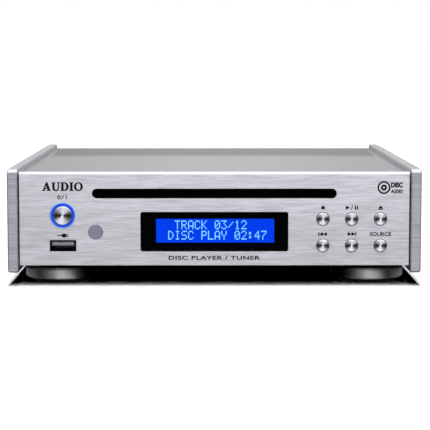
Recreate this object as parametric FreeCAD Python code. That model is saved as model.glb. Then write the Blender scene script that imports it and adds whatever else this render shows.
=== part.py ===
"""A compact slot-loading disc player, built as an assembly of separate parts.

Millimetres. X runs to the right seen from the front, Y runs from the front to the back, Z is up.
The origin is the bottom centre of the whole player, on the surface that it stands on.
"""
import FreeCAD, Part
import math
import os

V = FreeCAD.Vector

# ---------------------------------------------------------------- driving dimensions
WIDTH, DEPTH, HEIGHT = 215.0, 231.0, 61.0
GAP = 0.1                         # clearance between parts that only meet
SHEET = 1.2                       # thickness of the folded steel

PLATE_T = 5.6                     # aluminium plates that sandwich the body
PLATE_BOTTOM = 6.75
PLATE_FRONT, PLATE_REAR = -114.8, 107.2
PLATE_CORNER_R, PLATE_EDGE_R = 2.4, 0.9
INNER = WIDTH / 2 - PLATE_T       # half the width between the plates

FACE_Y, PANEL_T = -114.0, 5.0     # the front panel's face and thickness
PANEL_BACK = FACE_Y + PANEL_T
PANEL_HALF, PANEL_BOTTOM, PANEL_TOP = INNER - 0.6, 10.75, 59.3

BASE_Z = 11.3                     # underside of the chassis
BASE_TOP = BASE_Z + SHEET
WALL_OUT = INNER - 0.2
WALL_IN = WALL_OUT - SHEET
COVER_TOP = 58.35
COVER_UNDER = COVER_TOP - SHEET
REAR_FACE, REAR_T = 106.0, 1.0
REAR_IN = REAR_FACE - REAR_T

FOOT_X, FOOT_Y_FRONT, FOOT_Y_REAR, FOOT_R = 81.5, -88.5, 81.0, 19.3
PAD_R, PAD_H = 15.5, 3.9

SLOT_HALF, SLOT_Z, SLOT_H = 63.4, 48.25, 5.1
WINDOW_Z, WINDOW_W, WINDOW_H = 28.3, 76.7, 20.75
LIT_X, LIT_Z, LIT_W, LIT_H = 0.4, 28.5, 61.6, 12.5

POWER_X, POWER_Z, POWER_R = -78.7, 36.9, 4.75
SENSOR_X, SENSOR_Z, SENSOR_R = -61.7, 28.15, 3.8
USB_X, USB_Z, USB_W, USB_H = -78.7, 21.0, 13.4, 5.9
KEY_X = (56.4, 71.35, 86.3)
KEY_Z = (35.0, 21.15)
KEY_R = 3.1
KEYS = {
    "stop_button": (KEY_X[0], KEY_Z[0]),
    "play_pause_button": (KEY_X[1], KEY_Z[0]),
    "eject_button": (KEY_X[2], KEY_Z[0]),
    "previous_button": (KEY_X[0], KEY_Z[1]),
    "next_button": (KEY_X[1], KEY_Z[1]),
    "source_button": (KEY_X[2], KEY_Z[1]),
}
KEY_FACE, POWER_FACE = FACE_Y - 1.2, -DEPTH / 2
KEY_TRAVEL = 0.8
BOARD_Y, BOARD_T = -101.5, 1.6    # the board behind the front panel

SOCKET_Z = 30.0                   # height of every socket on the back
PHONO_X = {"left_phono_insert": 2.0, "right_phono_insert": 20.0, "coax_phono_insert": 42.0}
PHONO_END, PHONO_R, PHONO_BORE = DEPTH / 2, 4.15, 3.55
OPTICAL_X, AERIAL_X, INLET_X = 60.0, 82.0, -80.0

# the disc mechanism
SPINDLE_Y = -24.0
MECH_HALF, MECH_FRONT, MECH_REAR = 69.2, -97.0, 52.0
MECH_BOTTOM, MECH_TOP = 30.0, 52.5
DECK_Z, DECK_T = 42.5, 1.5
SLED_TRAVEL = 36.0
ROD_X, ROD_Z, ROD_R = 23.5, 38.0, 1.5
MODULE = 0.5                      # of every gear in the mechanism
RACK_LINE = 32.2                  # pitch line of the rack on the sled
GEAR_X, GEAR_Y = RACK_LINE + 3.5, 0.0
ROLLER_Y, ROLLER_Z, ROLLER_R = -90.0, 43.7, 4.0
HINGE_Y, HINGE_Z = -68.0, 36.0    # the roller carriage swings about this
ARM_Y, ARM_Z = 48.0, 54.6         # the clamp arm swings about this
GEAR_PLANE = 65.5                 # middle of the loading gears, along X


# ---------------------------------------------------------------- shape helpers
def box(x, y, z):
    """A block between the low and high value given for each axis."""
    return Part.makeBox(x[1] - x[0], y[1] - y[0], z[1] - z[0], V(x[0], y[0], z[0]))


def block(centre, size):
    """A block of that size around its centre."""
    spans = [(c - s / 2, c + s / 2) for c, s in zip(centre, size)]
    return box(*spans)


def rod(radius, start, end):
    """A round bar from one point to another."""
    start, end = V(*start), V(*end)
    return Part.makeCylinder(radius, (end - start).Length, start, end - start)


def rod_x(radius, x, y, z):
    return rod(radius, (x[0], y, z), (x[1], y, z))


def rod_y(radius, x, y, z):
    return rod(radius, (x, y[0], z), (x, y[1], z))


def rod_z(radius, x, y, z):
    return rod(radius, (x, y, z[0]), (x, y, z[1]))


def pair(low_high):
    """The same span on the other side of zero."""
    return (-low_high[1], -low_high[0])


def edges_along(shape, axis, keep=lambda edge: True):
    """The straight edges that run along an axis, 0 for X, 1 for Y, 2 for Z."""
    found = []
    for edge in shape.Edges:
        if len(edge.Vertexes) != 2 or not isinstance(edge.Curve, Part.Line):
            continue
        run = edge.Vertexes[1].Point - edge.Vertexes[0].Point
        if abs(abs(run[axis]) - run.Length) < 1e-6 and keep(edge):
            found.append(edge)
    return found


def round_along(shape, axis, radius, keep=lambda edge: True):
    return shape.makeFillet(radius, edges_along(shape, axis, keep))


def rounded_y(x, y, z, radius):
    """A block whose four edges along Y are rounded."""
    return round_along(box(x, y, z), 1, radius)


def rim(shape, test):
    """The round edges whose centre and radius pass a test."""
    return [e for e in shape.Edges if isinstance(e.Curve, Part.Circle) and test(e.Curve)]


def turned(profile, centre, axis):
    """A solid turned from (radius, height) points about an axis through the centre."""
    points = [V(r, 0, h) for r, h in profile]
    face = Part.Face(Part.makePolygon(points + points[:1]))
    solid = face.revolve(V(0, 0, 0), V(0, 0, 1), 360)
    solid.Placement = FreeCAD.Placement(V(*centre), FreeCAD.Rotation(V(0, 0, 1), V(*axis)))
    return solid


def joined(shapes):
    """One solid from several that meet or overlap."""
    return shapes[0].fuse(shapes[1:]).removeSplitter()


def without(shape, tools):
    return shape.cut(Part.Compound(tools))


def group(shapes):
    return Part.Compound(shapes)


# ---------------------------------------------------------------- gears
PRESSURE = math.radians(20)
ADDENDUM, DEDENDUM = 0.85 * MODULE, 1.25 * MODULE
BACKLASH = 0.07                   # taken off each tooth at the pitch circle


def involute(angle):
    return math.tan(angle) - angle


def gear(teeth, width, bore, phase):
    """A spur gear along Z from z = 0, with one tooth centred at the angle phase."""
    pitch = MODULE * teeth / 2
    base = pitch * math.cos(PRESSURE)
    tip, root = pitch + ADDENDUM, pitch - DEDENDUM
    half = math.pi / (2 * teeth) - BACKLASH / (2 * pitch)

    def half_angle(radius):
        if radius <= base:
            return half + involute(PRESSURE)
        return half + involute(PRESSURE) - involute(math.acos(base / radius))

    def at(radius, angle):
        return V(radius * math.cos(angle), radius * math.sin(angle), 0)

    start = max(base, root)
    middle = (start + tip) / 2
    foot = half_angle(start) * (0.8 if root < base else 1.0)
    edges = []
    for n in range(teeth):
        axis = phase + 2 * math.pi * n / teeth
        nearer = [at(r, axis - half_angle(r)) for r in (start, middle, tip)]
        further = [at(r, axis + half_angle(r)) for r in (tip, middle, start)]
        before, after = at(root, axis - foot), at(root, axis + foot)
        next_before = at(root, axis + 2 * math.pi / teeth - foot)
        edges.append(Part.LineSegment(before, nearer[0]).toShape())
        edges.append(Part.Arc(*nearer).toShape())
        edges.append(Part.Arc(nearer[2], at(tip, axis), further[0]).toShape())
        edges.append(Part.Arc(*further).toShape())
        edges.append(Part.LineSegment(further[2], after).toShape())
        edges.append(Part.Arc(after, at(root, axis + math.pi / teeth), next_before).toShape())
    solid = Part.Face(Part.Wire(edges)).extrude(V(0, 0, width))
    return solid.cut(Part.makeCylinder(bore, width)) if bore else solid


def along_x(shape, x, y, z):
    """Lays a shape made along Z onto the X axis, its own X then pointing along Y."""
    turn = FreeCAD.Rotation(V(0, 1, 0), V(0, 0, 1), V(1, 0, 0), "ZXY")
    shape.Placement = FreeCAD.Placement(V(x, y, z), turn)
    return shape


def moved(shape, x, y, z):
    shape.translate(V(x, y, z))
    return shape


# ---------------------------------------------------------------- fasteners
def pan_screw(x, y, z, direction, shank=6.0, thread=1.45):
    """An M3 pan-head screw with a cross recess; direction points from the thread to the head."""
    head = turned([(0, 0), (2.8, 0), (2.8, 1.0), (2.1, 1.8), (0, 2.0)], (0, 0, 0), (0, 0, 1))
    recess = [block((0, 0, 1.7), (3.0, 0.6, 1.4)), block((0, 0, 1.7), (0.6, 3.0, 1.4))]
    screw = joined([without(head, recess), rod_z(thread, 0, 0, (-shank, 0.2))])
    turn = FreeCAD.Rotation(V(0, 0, 1), V(*direction))
    screw.Placement = FreeCAD.Placement(V(x, y, z), turn)
    return screw


def hexagon(across_flats, length):
    """A six-sided prism along Z from z = 0."""
    corners = [V(math.cos(a), math.sin(a), 0) for a in (math.radians(60 * n) for n in range(6))]
    scale = across_flats / math.sqrt(3)
    points = [c * scale for c in corners]
    return Part.Face(Part.makePolygon(points + points[:1])).extrude(V(0, 0, length))


PLATE_SCREW_Y = (-88.0, 0.0, 82.0)
PLATE_SCREW_Z = 34.0
COVER_SCREW_X, COVER_SCREW_Z = (-90.0, 0.0, 90.0), 54.3
EAR_SCREW_X, EAR_SCREW_Z = 96.6, (20.0, 50.0)
BASE_SCREW_X, BASE_SCREW_Y = (-52.0, 0.0, 52.0), 101.5
SOCKET_SCREWS = ((11.0, 34.5), (51.0, 34.5), (INLET_X - 14.0, SOCKET_Z), (INLET_X + 14.0, SOCKET_Z))
MECH_POSTS = [(x, y) for x in (-75.0, 75.0) for y in (-60.0, 35.0)]
BOARD_POSTS = [(0.0, 62.0), (90.0, 62.0), (90.0, 85.0), (-92.0, 60.0), (-73.0, 60.0),
               (-30.0, -78.0), (30.0, -78.0), (-50.0, 32.0), (50.0, 32.0)]
PANEL_POSTS = [(-89.5, 28.0), (-46.5, 28.0), (46.5, 28.0), (78.8, 28.0)]
BOARD_Z = 19.0
TOROID_X, TOROID_Y = -40.0, 72.0


def side_plate_screws():
    made = []
    for side in (-1, 1):
        for y in PLATE_SCREW_Y:
            outer = side * (WIDTH / 2 - 0.4)
            under = side * (WIDTH / 2 - 3.4)
            inner = side * (WALL_IN - 1.5)
            screw = joined([rod_x(3.5, sorted((outer, under)), y, PLATE_SCREW_Z),
                            rod_x(1.95, sorted((outer, inner)), y, PLATE_SCREW_Z)])
            socket = hexagon(3.0, 2.0)
            socket.Placement = FreeCAD.Placement(V(outer, y, PLATE_SCREW_Z),
                                                 FreeCAD.Rotation(V(0, 0, 1), V(-side, 0, 0)))
            edges = rim(screw, lambda c: abs(c.Center.x - outer) < 0.01)
            made.append(screw.makeChamfer(0.3, edges).cut(socket))
    return group(made)


def case_screws():
    made = [pan_screw(x, REAR_FACE + 1.1, COVER_SCREW_Z, (0, 1, 0)) for x in COVER_SCREW_X]
    made += [pan_screw(x, BASE_SCREW_Y, BASE_Z, (0, 0, -1), 4.0) for x in BASE_SCREW_X]
    made += [pan_screw(x, REAR_FACE, z, (0, 1, 0), 3.5) for x, z in SOCKET_SCREWS[:2]]
    made += [pan_screw(x, REAR_FACE + 1.6, z, (0, 1, 0), 5.0) for x, z in SOCKET_SCREWS[2:]]
    for side in (-1, 1):
        for z in EAR_SCREW_Z:
            made.append(pan_screw(side * EAR_SCREW_X, PANEL_BACK + 0.2 + SHEET, z, (0, 1, 0), 4.5))
    made += [pan_screw(x, y, MECH_BOTTOM + SHEET, (0, 0, 1), 6.0) for x, y in MECH_POSTS]
    made += [pan_screw(x, y, BOARD_Z + BOARD_T, (0, 0, 1), 5.0) for x, y in BOARD_POSTS]
    made += [pan_screw(x, BOARD_Y + BOARD_T, z, (0, 1, 0), 5.0) for x, z in PANEL_POSTS]
    for x, y in foot_places():
        head = rod_z(4.0, x, y, (1.4, PAD_H))
        recess = moved(hexagon(3.0, 1.6), x, y, 1.4)
        made.append(joined([head, rod_z(2.0, x, y, (PAD_H - 0.2, 15.5))]).cut(recess))
    return group(made)


# ---------------------------------------------------------------- enclosure
def foot_places():
    return [(side * FOOT_X, y) for y in (FOOT_Y_FRONT, FOOT_Y_REAR) for side in (-1, 1)]


def bottom_vents():
    """Rows of cooling slots between the feet."""
    slots = []
    for row_y in (-30.0, 5.0, 40.0):
        for n in range(-7, 8):
            x = n * 6.0
            slot = box((x - 1.25, x + 1.25), (row_y - 11.0, row_y + 11.0), (BASE_Z - 1, BASE_TOP + 1))
            slots.append(round_along(slot, 2, 1.2))
    return slots


def chassis_base():
    floor = box((-WALL_OUT, WALL_OUT), (PANEL_BACK + 0.2, REAR_FACE), (BASE_Z, BASE_TOP))
    wall = box((WALL_IN, WALL_OUT), (PANEL_BACK + 0.2, REAR_IN), (BASE_TOP, COVER_UNDER - GAP))
    ear = box((93.0, WALL_IN), (PANEL_BACK + 0.2, PANEL_BACK + 0.2 + SHEET), (BASE_TOP, COVER_UNDER - GAP))
    mirror = [s.mirror(V(0, 0, 0), V(1, 0, 0)) for s in (wall, ear)]
    flange = box((-93.0, 93.0), (PANEL_BACK + 0.2, PANEL_BACK + 0.2 + SHEET), (BASE_TOP, 15.5))
    posts = [rod_z(4.0, x, y, (BASE_TOP - 0.5, MECH_BOTTOM)) for x, y in MECH_POSTS]
    posts += [rod_z(2.8, x, y, (BASE_TOP - 0.5, BOARD_Z)) for x, y in BOARD_POSTS]
    shell = joined([floor, wall, ear, flange, *mirror, *posts])
    holes = [rod_z(1.5, x, y, (20.0, MECH_BOTTOM + 1)) for x, y in MECH_POSTS]
    holes += [rod_z(1.5, x, y, (13.0, BOARD_Z + 1)) for x, y in BOARD_POSTS]
    holes += [rod_z(2.1, x, y, (BASE_Z - 1, BASE_TOP + 1)) for x, y in foot_places()]
    holes += [rod_z(1.6, x, BASE_SCREW_Y, (BASE_Z - 1, BASE_TOP + 1)) for x in BASE_SCREW_X]
    holes.append(rod_z(3.05, TOROID_X, TOROID_Y, (BASE_Z - 1, BASE_TOP + 1)))
    for side in (-1, 1):
        ends = sorted((side * (WALL_IN - 1), side * (WALL_OUT + 1)))
        holes += [rod_x(2.0, ends, y, PLATE_SCREW_Z) for y in PLATE_SCREW_Y]
        holes += [rod_y(1.6, side * EAR_SCREW_X, (-110.0, -105.0), z) for z in EAR_SCREW_Z]
    return without(shell, holes + bottom_vents())


def top_cover():
    plate = box((-WALL_OUT, WALL_OUT), (PANEL_BACK + GAP, REAR_FACE + 1.1), (COVER_UNDER, COVER_TOP))
    back = box((-WALL_OUT + 1.5, WALL_OUT - 1.5), (REAR_FACE + GAP, REAR_FACE + 1.1), (51.5, COVER_UNDER))
    lip = box((WALL_IN - 1.1, WALL_IN - GAP), (-104.0, REAR_IN - 1), (49.0, COVER_UNDER))
    cover = joined([plate, back, lip, lip.mirror(V(0, 0, 0), V(1, 0, 0))])
    bend = edges_along(cover, 0, lambda e: e.CenterOfMass.y > REAR_FACE + 1 and e.CenterOfMass.z > 58)
    cover = cover.makeFillet(1.0, bend)
    return without(cover, [rod_y(1.6, x, (105.5, 108.0), COVER_SCREW_Z) for x in COVER_SCREW_X])


def rear_panel():
    half = WALL_IN - GAP
    sheet = box((-half, half), (REAR_IN, REAR_FACE), (BASE_TOP + GAP, COVER_UNDER - GAP))
    flange = box((-half + 8, half - 8), (98.0, REAR_IN), (BASE_TOP + GAP, BASE_TOP + 1.1))
    holes = [rod_y(4.7, x, (104.0, 107.0), SOCKET_Z) for x in PHONO_X.values()]
    holes.append(rod_y(5.0, AERIAL_X, (104.0, 107.0), SOCKET_Z))
    holes.append(block((OPTICAL_X, REAR_FACE, SOCKET_Z), (12.2, 4, 12.2)))
    holes.append(block((INLET_X, REAR_FACE, SOCKET_Z), (21.4, 4, 12.4)))
    holes += [rod_y(1.6, x, (104.0, 107.0), z) for x, z in SOCKET_SCREWS]
    holes += [rod_y(1.6, x, (104.0, 107.0), COVER_SCREW_Z) for x in COVER_SCREW_X]
    holes += [rod_z(1.5, x, BASE_SCREW_Y, (12.0, 14.0)) for x in BASE_SCREW_X]
    return without(joined([sheet, flange]), holes)


def front_panel():
    panel = box((-PANEL_HALF, PANEL_HALF), (FACE_Y, PANEL_BACK), (PANEL_BOTTOM, PANEL_TOP))
    front = FACE_Y + 0.01
    top_edge = edges_along(panel, 0, lambda e: e.CenterOfMass.y < front and e.CenterOfMass.z > 59)
    panel = panel.makeChamfer(1.1, top_edge)
    sides = edges_along(panel, 2, lambda e: e.CenterOfMass.y < front)
    low_edge = edges_along(panel, 0, lambda e: e.CenterOfMass.y < front and e.CenterOfMass.z < 12)
    panel = panel.makeChamfer(0.15, sides + low_edge)
    through = (FACE_Y - 1, PANEL_BACK + 1)
    slot = rounded_y((-SLOT_HALF, SLOT_HALF), through, (SLOT_Z - SLOT_H / 2, SLOT_Z + SLOT_H / 2), 2.5)
    window = rounded_y((-WINDOW_W / 2, WINDOW_W / 2), through,
                       (WINDOW_Z - WINDOW_H / 2, WINDOW_Z + WINDOW_H / 2), 1.2)
    pocket = block((0, PANEL_BACK, WINDOW_Z), (WINDOW_W + 3.9, 3.1, WINDOW_H + 3.9))
    socket = rounded_y((USB_X - USB_W / 2, USB_X + USB_W / 2), through,
                       (USB_Z - USB_H / 2, USB_Z + USB_H / 2), 0.4)
    holes = [slot, window, pocket, socket]
    holes.append(rod_y(POWER_R + 2.05, POWER_X, through, POWER_Z))
    holes.append(rod_y(SENSOR_R + 0.1, SENSOR_X, through, SENSOR_Z))
    holes += [rod_y(KEY_R + 0.25, x, through, z) for x, z in KEYS.values()]
    blind = (PANEL_BACK - 3.6, PANEL_BACK + 1)
    holes += [rod_y(1.5, side * EAR_SCREW_X, blind, z) for side in (-1, 1) for z in EAR_SCREW_Z]
    holes += [rod_y(1.5, x, (PANEL_BACK + 0.5, BOARD_Y + 1), z) for x, z in PANEL_POSTS]
    posts = [rod_y(2.8, x, (PANEL_BACK - 0.5, BOARD_Y), z) for x, z in PANEL_POSTS]
    panel = without(joined([panel, *posts]), holes)
    slot_rim = [e for e in panel.Edges if e.BoundBox.YMax < front and abs(e.CenterOfMass.z - SLOT_Z) < 3
                and abs(e.CenterOfMass.x) < 70 and e.BoundBox.ZLength < 6]
    panel = panel.makeChamfer(0.12, slot_rim)
    window_rim = [e for e in panel.Edges if e.BoundBox.YMax < front and abs(e.CenterOfMass.x) < 39
                  and 18.0 < e.CenterOfMass.z < 39.2]
    panel = panel.makeChamfer(0.12, window_rim)
    socket_rim = [e for e in panel.Edges if e.BoundBox.YMax < front and abs(e.CenterOfMass.x - USB_X) < USB_W / 2 + 0.1
                  and abs(e.CenterOfMass.z - USB_Z) < USB_H / 2 + 0.1]
    panel = panel.makeChamfer(0.25, socket_rim)
    panel = panel.makeChamfer(0.35, rim(panel, lambda c: c.Center.y < front and c.Radius > 6))
    key_rims = rim(panel, lambda c: c.Center.y < front and abs(c.Radius - KEY_R - 0.25) < 0.01 and c.Center.z < 40)
    return panel.makeChamfer(0.2, key_rims)


def side_plate(side):
    outline = box((INNER, WIDTH / 2), (PLATE_FRONT, PLATE_REAR), (PLATE_BOTTOM, HEIGHT))
    outline = round_along(outline, 0, PLATE_CORNER_R)
    outer = [e for e in outline.Edges if e.BoundBox.XLength < 0.01]
    plate = outline.makeFillet(PLATE_EDGE_R, outer)
    holes = []
    for y in PLATE_SCREW_Y:
        holes.append(rod_x(2.1, (INNER - 1, WIDTH / 2 + 1), y, PLATE_SCREW_Z))
        holes.append(rod_x(3.7, (WIDTH / 2 - 3.4, WIDTH / 2 + 1), y, PLATE_SCREW_Z))
    plate = without(plate, holes)
    rims = rim(plate, lambda c: abs(c.Radius - 3.7) < 0.01 and abs(c.Center.x - WIDTH / 2) < 0.01)
    plate = plate.makeChamfer(0.3, rims)
    return plate if side > 0 else plate.mirror(V(0, 0, 0), V(1, 0, 0))


def foot_rings():
    """Turned aluminium feet: a wide polished ring under a narrower neck."""
    profile = [(2.3, PAD_H), (15.7, PAD_H), (15.7, 2.4), (18.6, 2.4), (FOOT_R, 3.1), (FOOT_R, 7.1),
               (FOOT_R - 0.4, 7.5), (13.0, 7.5), (13.0, BASE_Z), (2.3, BASE_Z)]
    return group([turned(profile, (x, y, 0), (0, 0, 1)) for x, y in foot_places()])


def foot_pads():
    profile = [(5.5, 0), (PAD_R - 0.6, 0), (PAD_R, 0.6), (PAD_R, PAD_H), (5.5, PAD_H)]
    return group([turned(profile, (x, y, 0), (0, 0, 1)) for x, y in foot_places()])


# ---------------------------------------------------------------- display
def display_window():
    front = rounded_y((-WINDOW_W / 2 + GAP, WINDOW_W / 2 - GAP), (FACE_Y + 0.2, PANEL_BACK - 1.4),
                      (WINDOW_Z - WINDOW_H / 2 + GAP, WINDOW_Z + WINDOW_H / 2 - GAP), 1.1)
    flange = box((-WINDOW_W / 2 - 1.8, WINDOW_W / 2 + 1.8), (PANEL_BACK - 1.45, PANEL_BACK),
                 (WINDOW_Z - WINDOW_H / 2 - 1.8, WINDOW_Z + WINDOW_H / 2 + 1.8))
    return joined([front, flange])


def display_mask():
    """A black film behind the window that leaves only the lit field open."""
    film = box((-WINDOW_W / 2 - 1.5, WINDOW_W / 2 + 1.5), (PANEL_BACK + 0.02, PANEL_BACK + 0.32),
               (WINDOW_Z - WINDOW_H / 2 - 1.5, WINDOW_Z + WINDOW_H / 2 + 1.5))
    return film.cut(block((LIT_X, PANEL_BACK, LIT_Z), (LIT_W, 2, LIT_H)))


def lcd_panel():
    return block((LIT_X, PANEL_BACK + 1.25, LIT_Z), (LIT_W + 5, 1.5, LIT_H + 4))


def lcd_holder():
    """A tray that carries the liquid crystal panel and its backlight on the board."""
    back = PANEL_BACK + 2.1
    tray = box((-39.5, 39.5), (PANEL_BACK + 0.5, BOARD_Y), (17.6, 40.6))
    well = block((LIT_X, back - 1, LIT_Z), (LIT_W + 5.4, 2, LIT_H + 4.4))
    relief = box((-34.0, 34.0), (back + 3, BOARD_Y + 1), (21.0, 37.0))
    return without(tray, [well, relief])


# ---------------------------------------------------------------- keys and front sockets
def key_cap(radius, face, back):
    """The turned cap of a key: a chamfered rim round a faintly hollow cone."""
    depth = back - face
    return [(0, depth), (radius, depth), (radius, 0.3), (radius - 0.3, 0), (0, radius * 0.06)]


def key(x, z):
    cap = turned(key_cap(KEY_R, KEY_FACE, PANEL_BACK + 0.3), (x, KEY_FACE, z), (0, 1, 0))
    flange = rod_y(4.2, x, (PANEL_BACK + 0.1, PANEL_BACK + 1.1), z)
    stem = rod_y(1.5, x, (PANEL_BACK, BOARD_Y - 3.9), z)
    return joined([cap, flange, stem])


def power_button():
    cap = turned(key_cap(POWER_R, POWER_FACE, -107.4), (POWER_X, POWER_FACE, POWER_Z), (0, 1, 0))
    flange = rod_y(6.2, POWER_X, (-107.7, -106.7), POWER_Z)
    stem = rod_y(2.0, POWER_X, (-107.0, BOARD_Y - 3.9), POWER_Z)
    return joined([cap, flange, stem])


def power_light_ring():
    ring = rod_y(POWER_R + 1.95, POWER_X, (FACE_Y - 0.3, PANEL_BACK + 0.2), POWER_Z)
    ring = ring.makeFillet(0.3, rim(ring, lambda c: c.Center.y < FACE_Y))
    flange = rod_y(8.2, POWER_X, (PANEL_BACK + 0.1, PANEL_BACK + 1.1), POWER_Z)
    return joined([ring, flange]).cut(rod_y(POWER_R + 0.15, POWER_X, (-116.0, -106.0), POWER_Z))


def remote_sensor_lens():
    lens = rod_y(SENSOR_R, SENSOR_X, (FACE_Y - 0.1, PANEL_BACK + 0.2), SENSOR_Z)
    lens = lens.makeFillet(0.3, rim(lens, lambda c: c.Center.y < FACE_Y))
    return joined([lens, rod_y(5.2, SENSOR_X, (PANEL_BACK + 0.1, PANEL_BACK + 1.1), SENSOR_Z)])


def usb_shell():
    """The folded steel shell of the memory socket, open at the front."""
    half_w, half_h = USB_W / 2 - 0.2, USB_H / 2 - 0.2
    outer = rounded_y((USB_X - half_w, USB_X + half_w), (FACE_Y + 0.5, BOARD_Y - 0.05),
                      (USB_Z - half_h, USB_Z + half_h), 0.5)
    inner = rounded_y((USB_X - half_w + 0.3, USB_X + half_w - 0.3), (FACE_Y, BOARD_Y - 0.6),
                      (USB_Z - half_h + 0.3, USB_Z + half_h - 0.3), 0.3)
    springs = [block((USB_X + dx, -107.0, USB_Z - half_h), (2.0, 5.0, 1.0)) for dx in (-3.2, 3.2)]
    return without(outer, [inner, *springs])


def usb_tongue():
    tongue = box((USB_X - 5.6, USB_X + 5.6), (FACE_Y + 1.3, BOARD_Y - 1.5), (USB_Z + 0.1, USB_Z + 1.9))
    root = box((USB_X - 6.0, USB_X + 6.0), (BOARD_Y - 2.6, BOARD_Y - 0.65), (USB_Z - 2.3, USB_Z + 2.3))
    contacts = [box((USB_X + dx - 0.5, USB_X + dx + 0.5), (FACE_Y + 1.6, BOARD_Y - 2.7),
                    (USB_Z + 0.0, USB_Z + 0.2)) for dx in (-3.5, -1.0, 1.0, 3.5)]
    return without(joined([tongue, root]), contacts)


def slot_felts():
    upper = box((-66.0, 66.0), (PANEL_BACK + 0.1, PANEL_BACK + 1.7), (SLOT_Z + 0.2, SLOT_Z + 3.8))
    lower = box((-66.0, 66.0), (PANEL_BACK + 0.1, PANEL_BACK + 1.7), (SLOT_Z - 3.8, SLOT_Z - 0.2))
    return group([upper, lower])


def front_board():
    board = box((-92.0, 92.0), (BOARD_Y, BOARD_Y + BOARD_T), (16.0, 43.0))
    return without(board, [rod_y(1.6, x, (BOARD_Y - 1, BOARD_Y + BOARD_T + 1), z) for x, z in PANEL_POSTS])


def tact_switches():
    places = [*KEYS.values(), (POWER_X, POWER_Z)]
    return group([block((x, BOARD_Y - 1.5, z), (6.0, 3.0, 6.0)) for x, z in places])


# ---------------------------------------------------------------- sockets on the back
def phono_barrels():
    made = []
    for x in PHONO_X.values():
        tube = rod_y(PHONO_R, x, (99.0, PHONO_END), SOCKET_Z)
        tube = tube.makeChamfer(0.3, rim(tube, lambda c: c.Center.y > 115))
        shoulder = rod_y(PHONO_R + 0.2, x, (99.0, REAR_FACE + 1.4), SOCKET_Z)
        made.append(joined([tube, shoulder]).cut(rod_y(PHONO_BORE, x, (98.0, 116.0), SOCKET_Z)))
    return group(made)


def phono_insert(x):
    """The coloured ring on the panel and the insulator inside the barrel."""
    collar = rod_y(6.0, x, (REAR_FACE + 0.02, REAR_FACE + 1.3), SOCKET_Z)
    collar = collar.makeChamfer(0.4, rim(collar, lambda c: c.Center.y > REAR_FACE + 1))
    collar = collar.cut(rod_y(PHONO_R + 0.25, x, (105.0, 108.0), SOCKET_Z))
    core = rod_y(PHONO_BORE - 0.05, x, (99.0, PHONO_END - 1.2), SOCKET_Z)
    return group([collar, core.cut(rod_y(1.65, x, (105.5, 115.0), SOCKET_Z))])


def jack_block():
    made = []
    for low, high, places in ((-7.0, 29.0, (2.0, 20.0)), (34.0, 52.5, (42.0,))):
        body = box((low, high), (90.0, REAR_IN - GAP), (BOARD_Z + BOARD_T, 39.0))
        bores = [rod_y(PHONO_R + 0.25, x, (98.9, 106.0), SOCKET_Z) for x in places]
        bores += [rod_y(1.5, x, (100.0, 106.0), z) for x, z in SOCKET_SCREWS[:2] if low < x < high]
        made.append(without(body, bores))
    return group(made)


OPTICAL_HALF, OPTICAL_DEPTH = 4.1, 97.0
SHUTTER_Y, SHUTTER_Z = 105.6, SOCKET_Z + 3.6


def optical_socket():
    body = box((OPTICAL_X - 6, OPTICAL_X + 6), (91.0, REAR_FACE + 1.0), (SOCKET_Z - 6, SOCKET_Z + 6))
    foot = box((OPTICAL_X - 5, OPTICAL_X + 5), (91.0, 103.0), (BOARD_Z + BOARD_T, SOCKET_Z - 5.9))
    well = box((OPTICAL_X - OPTICAL_HALF, OPTICAL_X + OPTICAL_HALF), (OPTICAL_DEPTH, 108.0),
               (SOCKET_Z - OPTICAL_HALF, SOCKET_Z + OPTICAL_HALF))
    pivots = rod_x(0.4, (OPTICAL_X - 4.6, OPTICAL_X + 4.6), SHUTTER_Y, SHUTTER_Z)
    emitter = rod_y(1.1, OPTICAL_X, (OPTICAL_DEPTH - 1, OPTICAL_DEPTH + 1.0), SOCKET_Z)
    return joined([without(joined([body, foot]), [well, pivots]), emitter])


def optical_shutter():
    flap = box((OPTICAL_X - 3.9, OPTICAL_X + 3.9), (SHUTTER_Y - 0.3, SHUTTER_Y + 0.3),
               (SOCKET_Z - 3.7, SHUTTER_Z + 0.2))
    pin = rod_x(0.35, (OPTICAL_X - 4.5, OPTICAL_X + 4.5), SHUTTER_Y, SHUTTER_Z)
    rib = block((OPTICAL_X, SHUTTER_Y - 0.4, SOCKET_Z - 0.3), (3.0, 0.3, 4.0))
    return joined([flap, pin, rib])


def aerial_socket():
    body = box((AERIAL_X - 7, AERIAL_X + 7), (92.0, REAR_IN - GAP), (BOARD_Z + BOARD_T, 37.5))
    barrel = rod_y(4.75, AERIAL_X, (104.0, 114.5), SOCKET_Z)
    barrel = barrel.makeChamfer(0.5, rim(barrel, lambda c: c.Center.y > 114))
    nut = hexagon(12.5, 2.2)
    nut.Placement = FreeCAD.Placement(V(AERIAL_X, REAR_FACE + 0.02, SOCKET_Z),
                                      FreeCAD.Rotation(V(0, 0, 1), V(0, 1, 0)))
    hollow = [rod_y(3.4, AERIAL_X, (113.9, 115.0), SOCKET_Z), rod_y(0.8, AERIAL_X, (106.0, 115.0), SOCKET_Z)]
    return without(joined([body, barrel, nut]), hollow)


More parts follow.
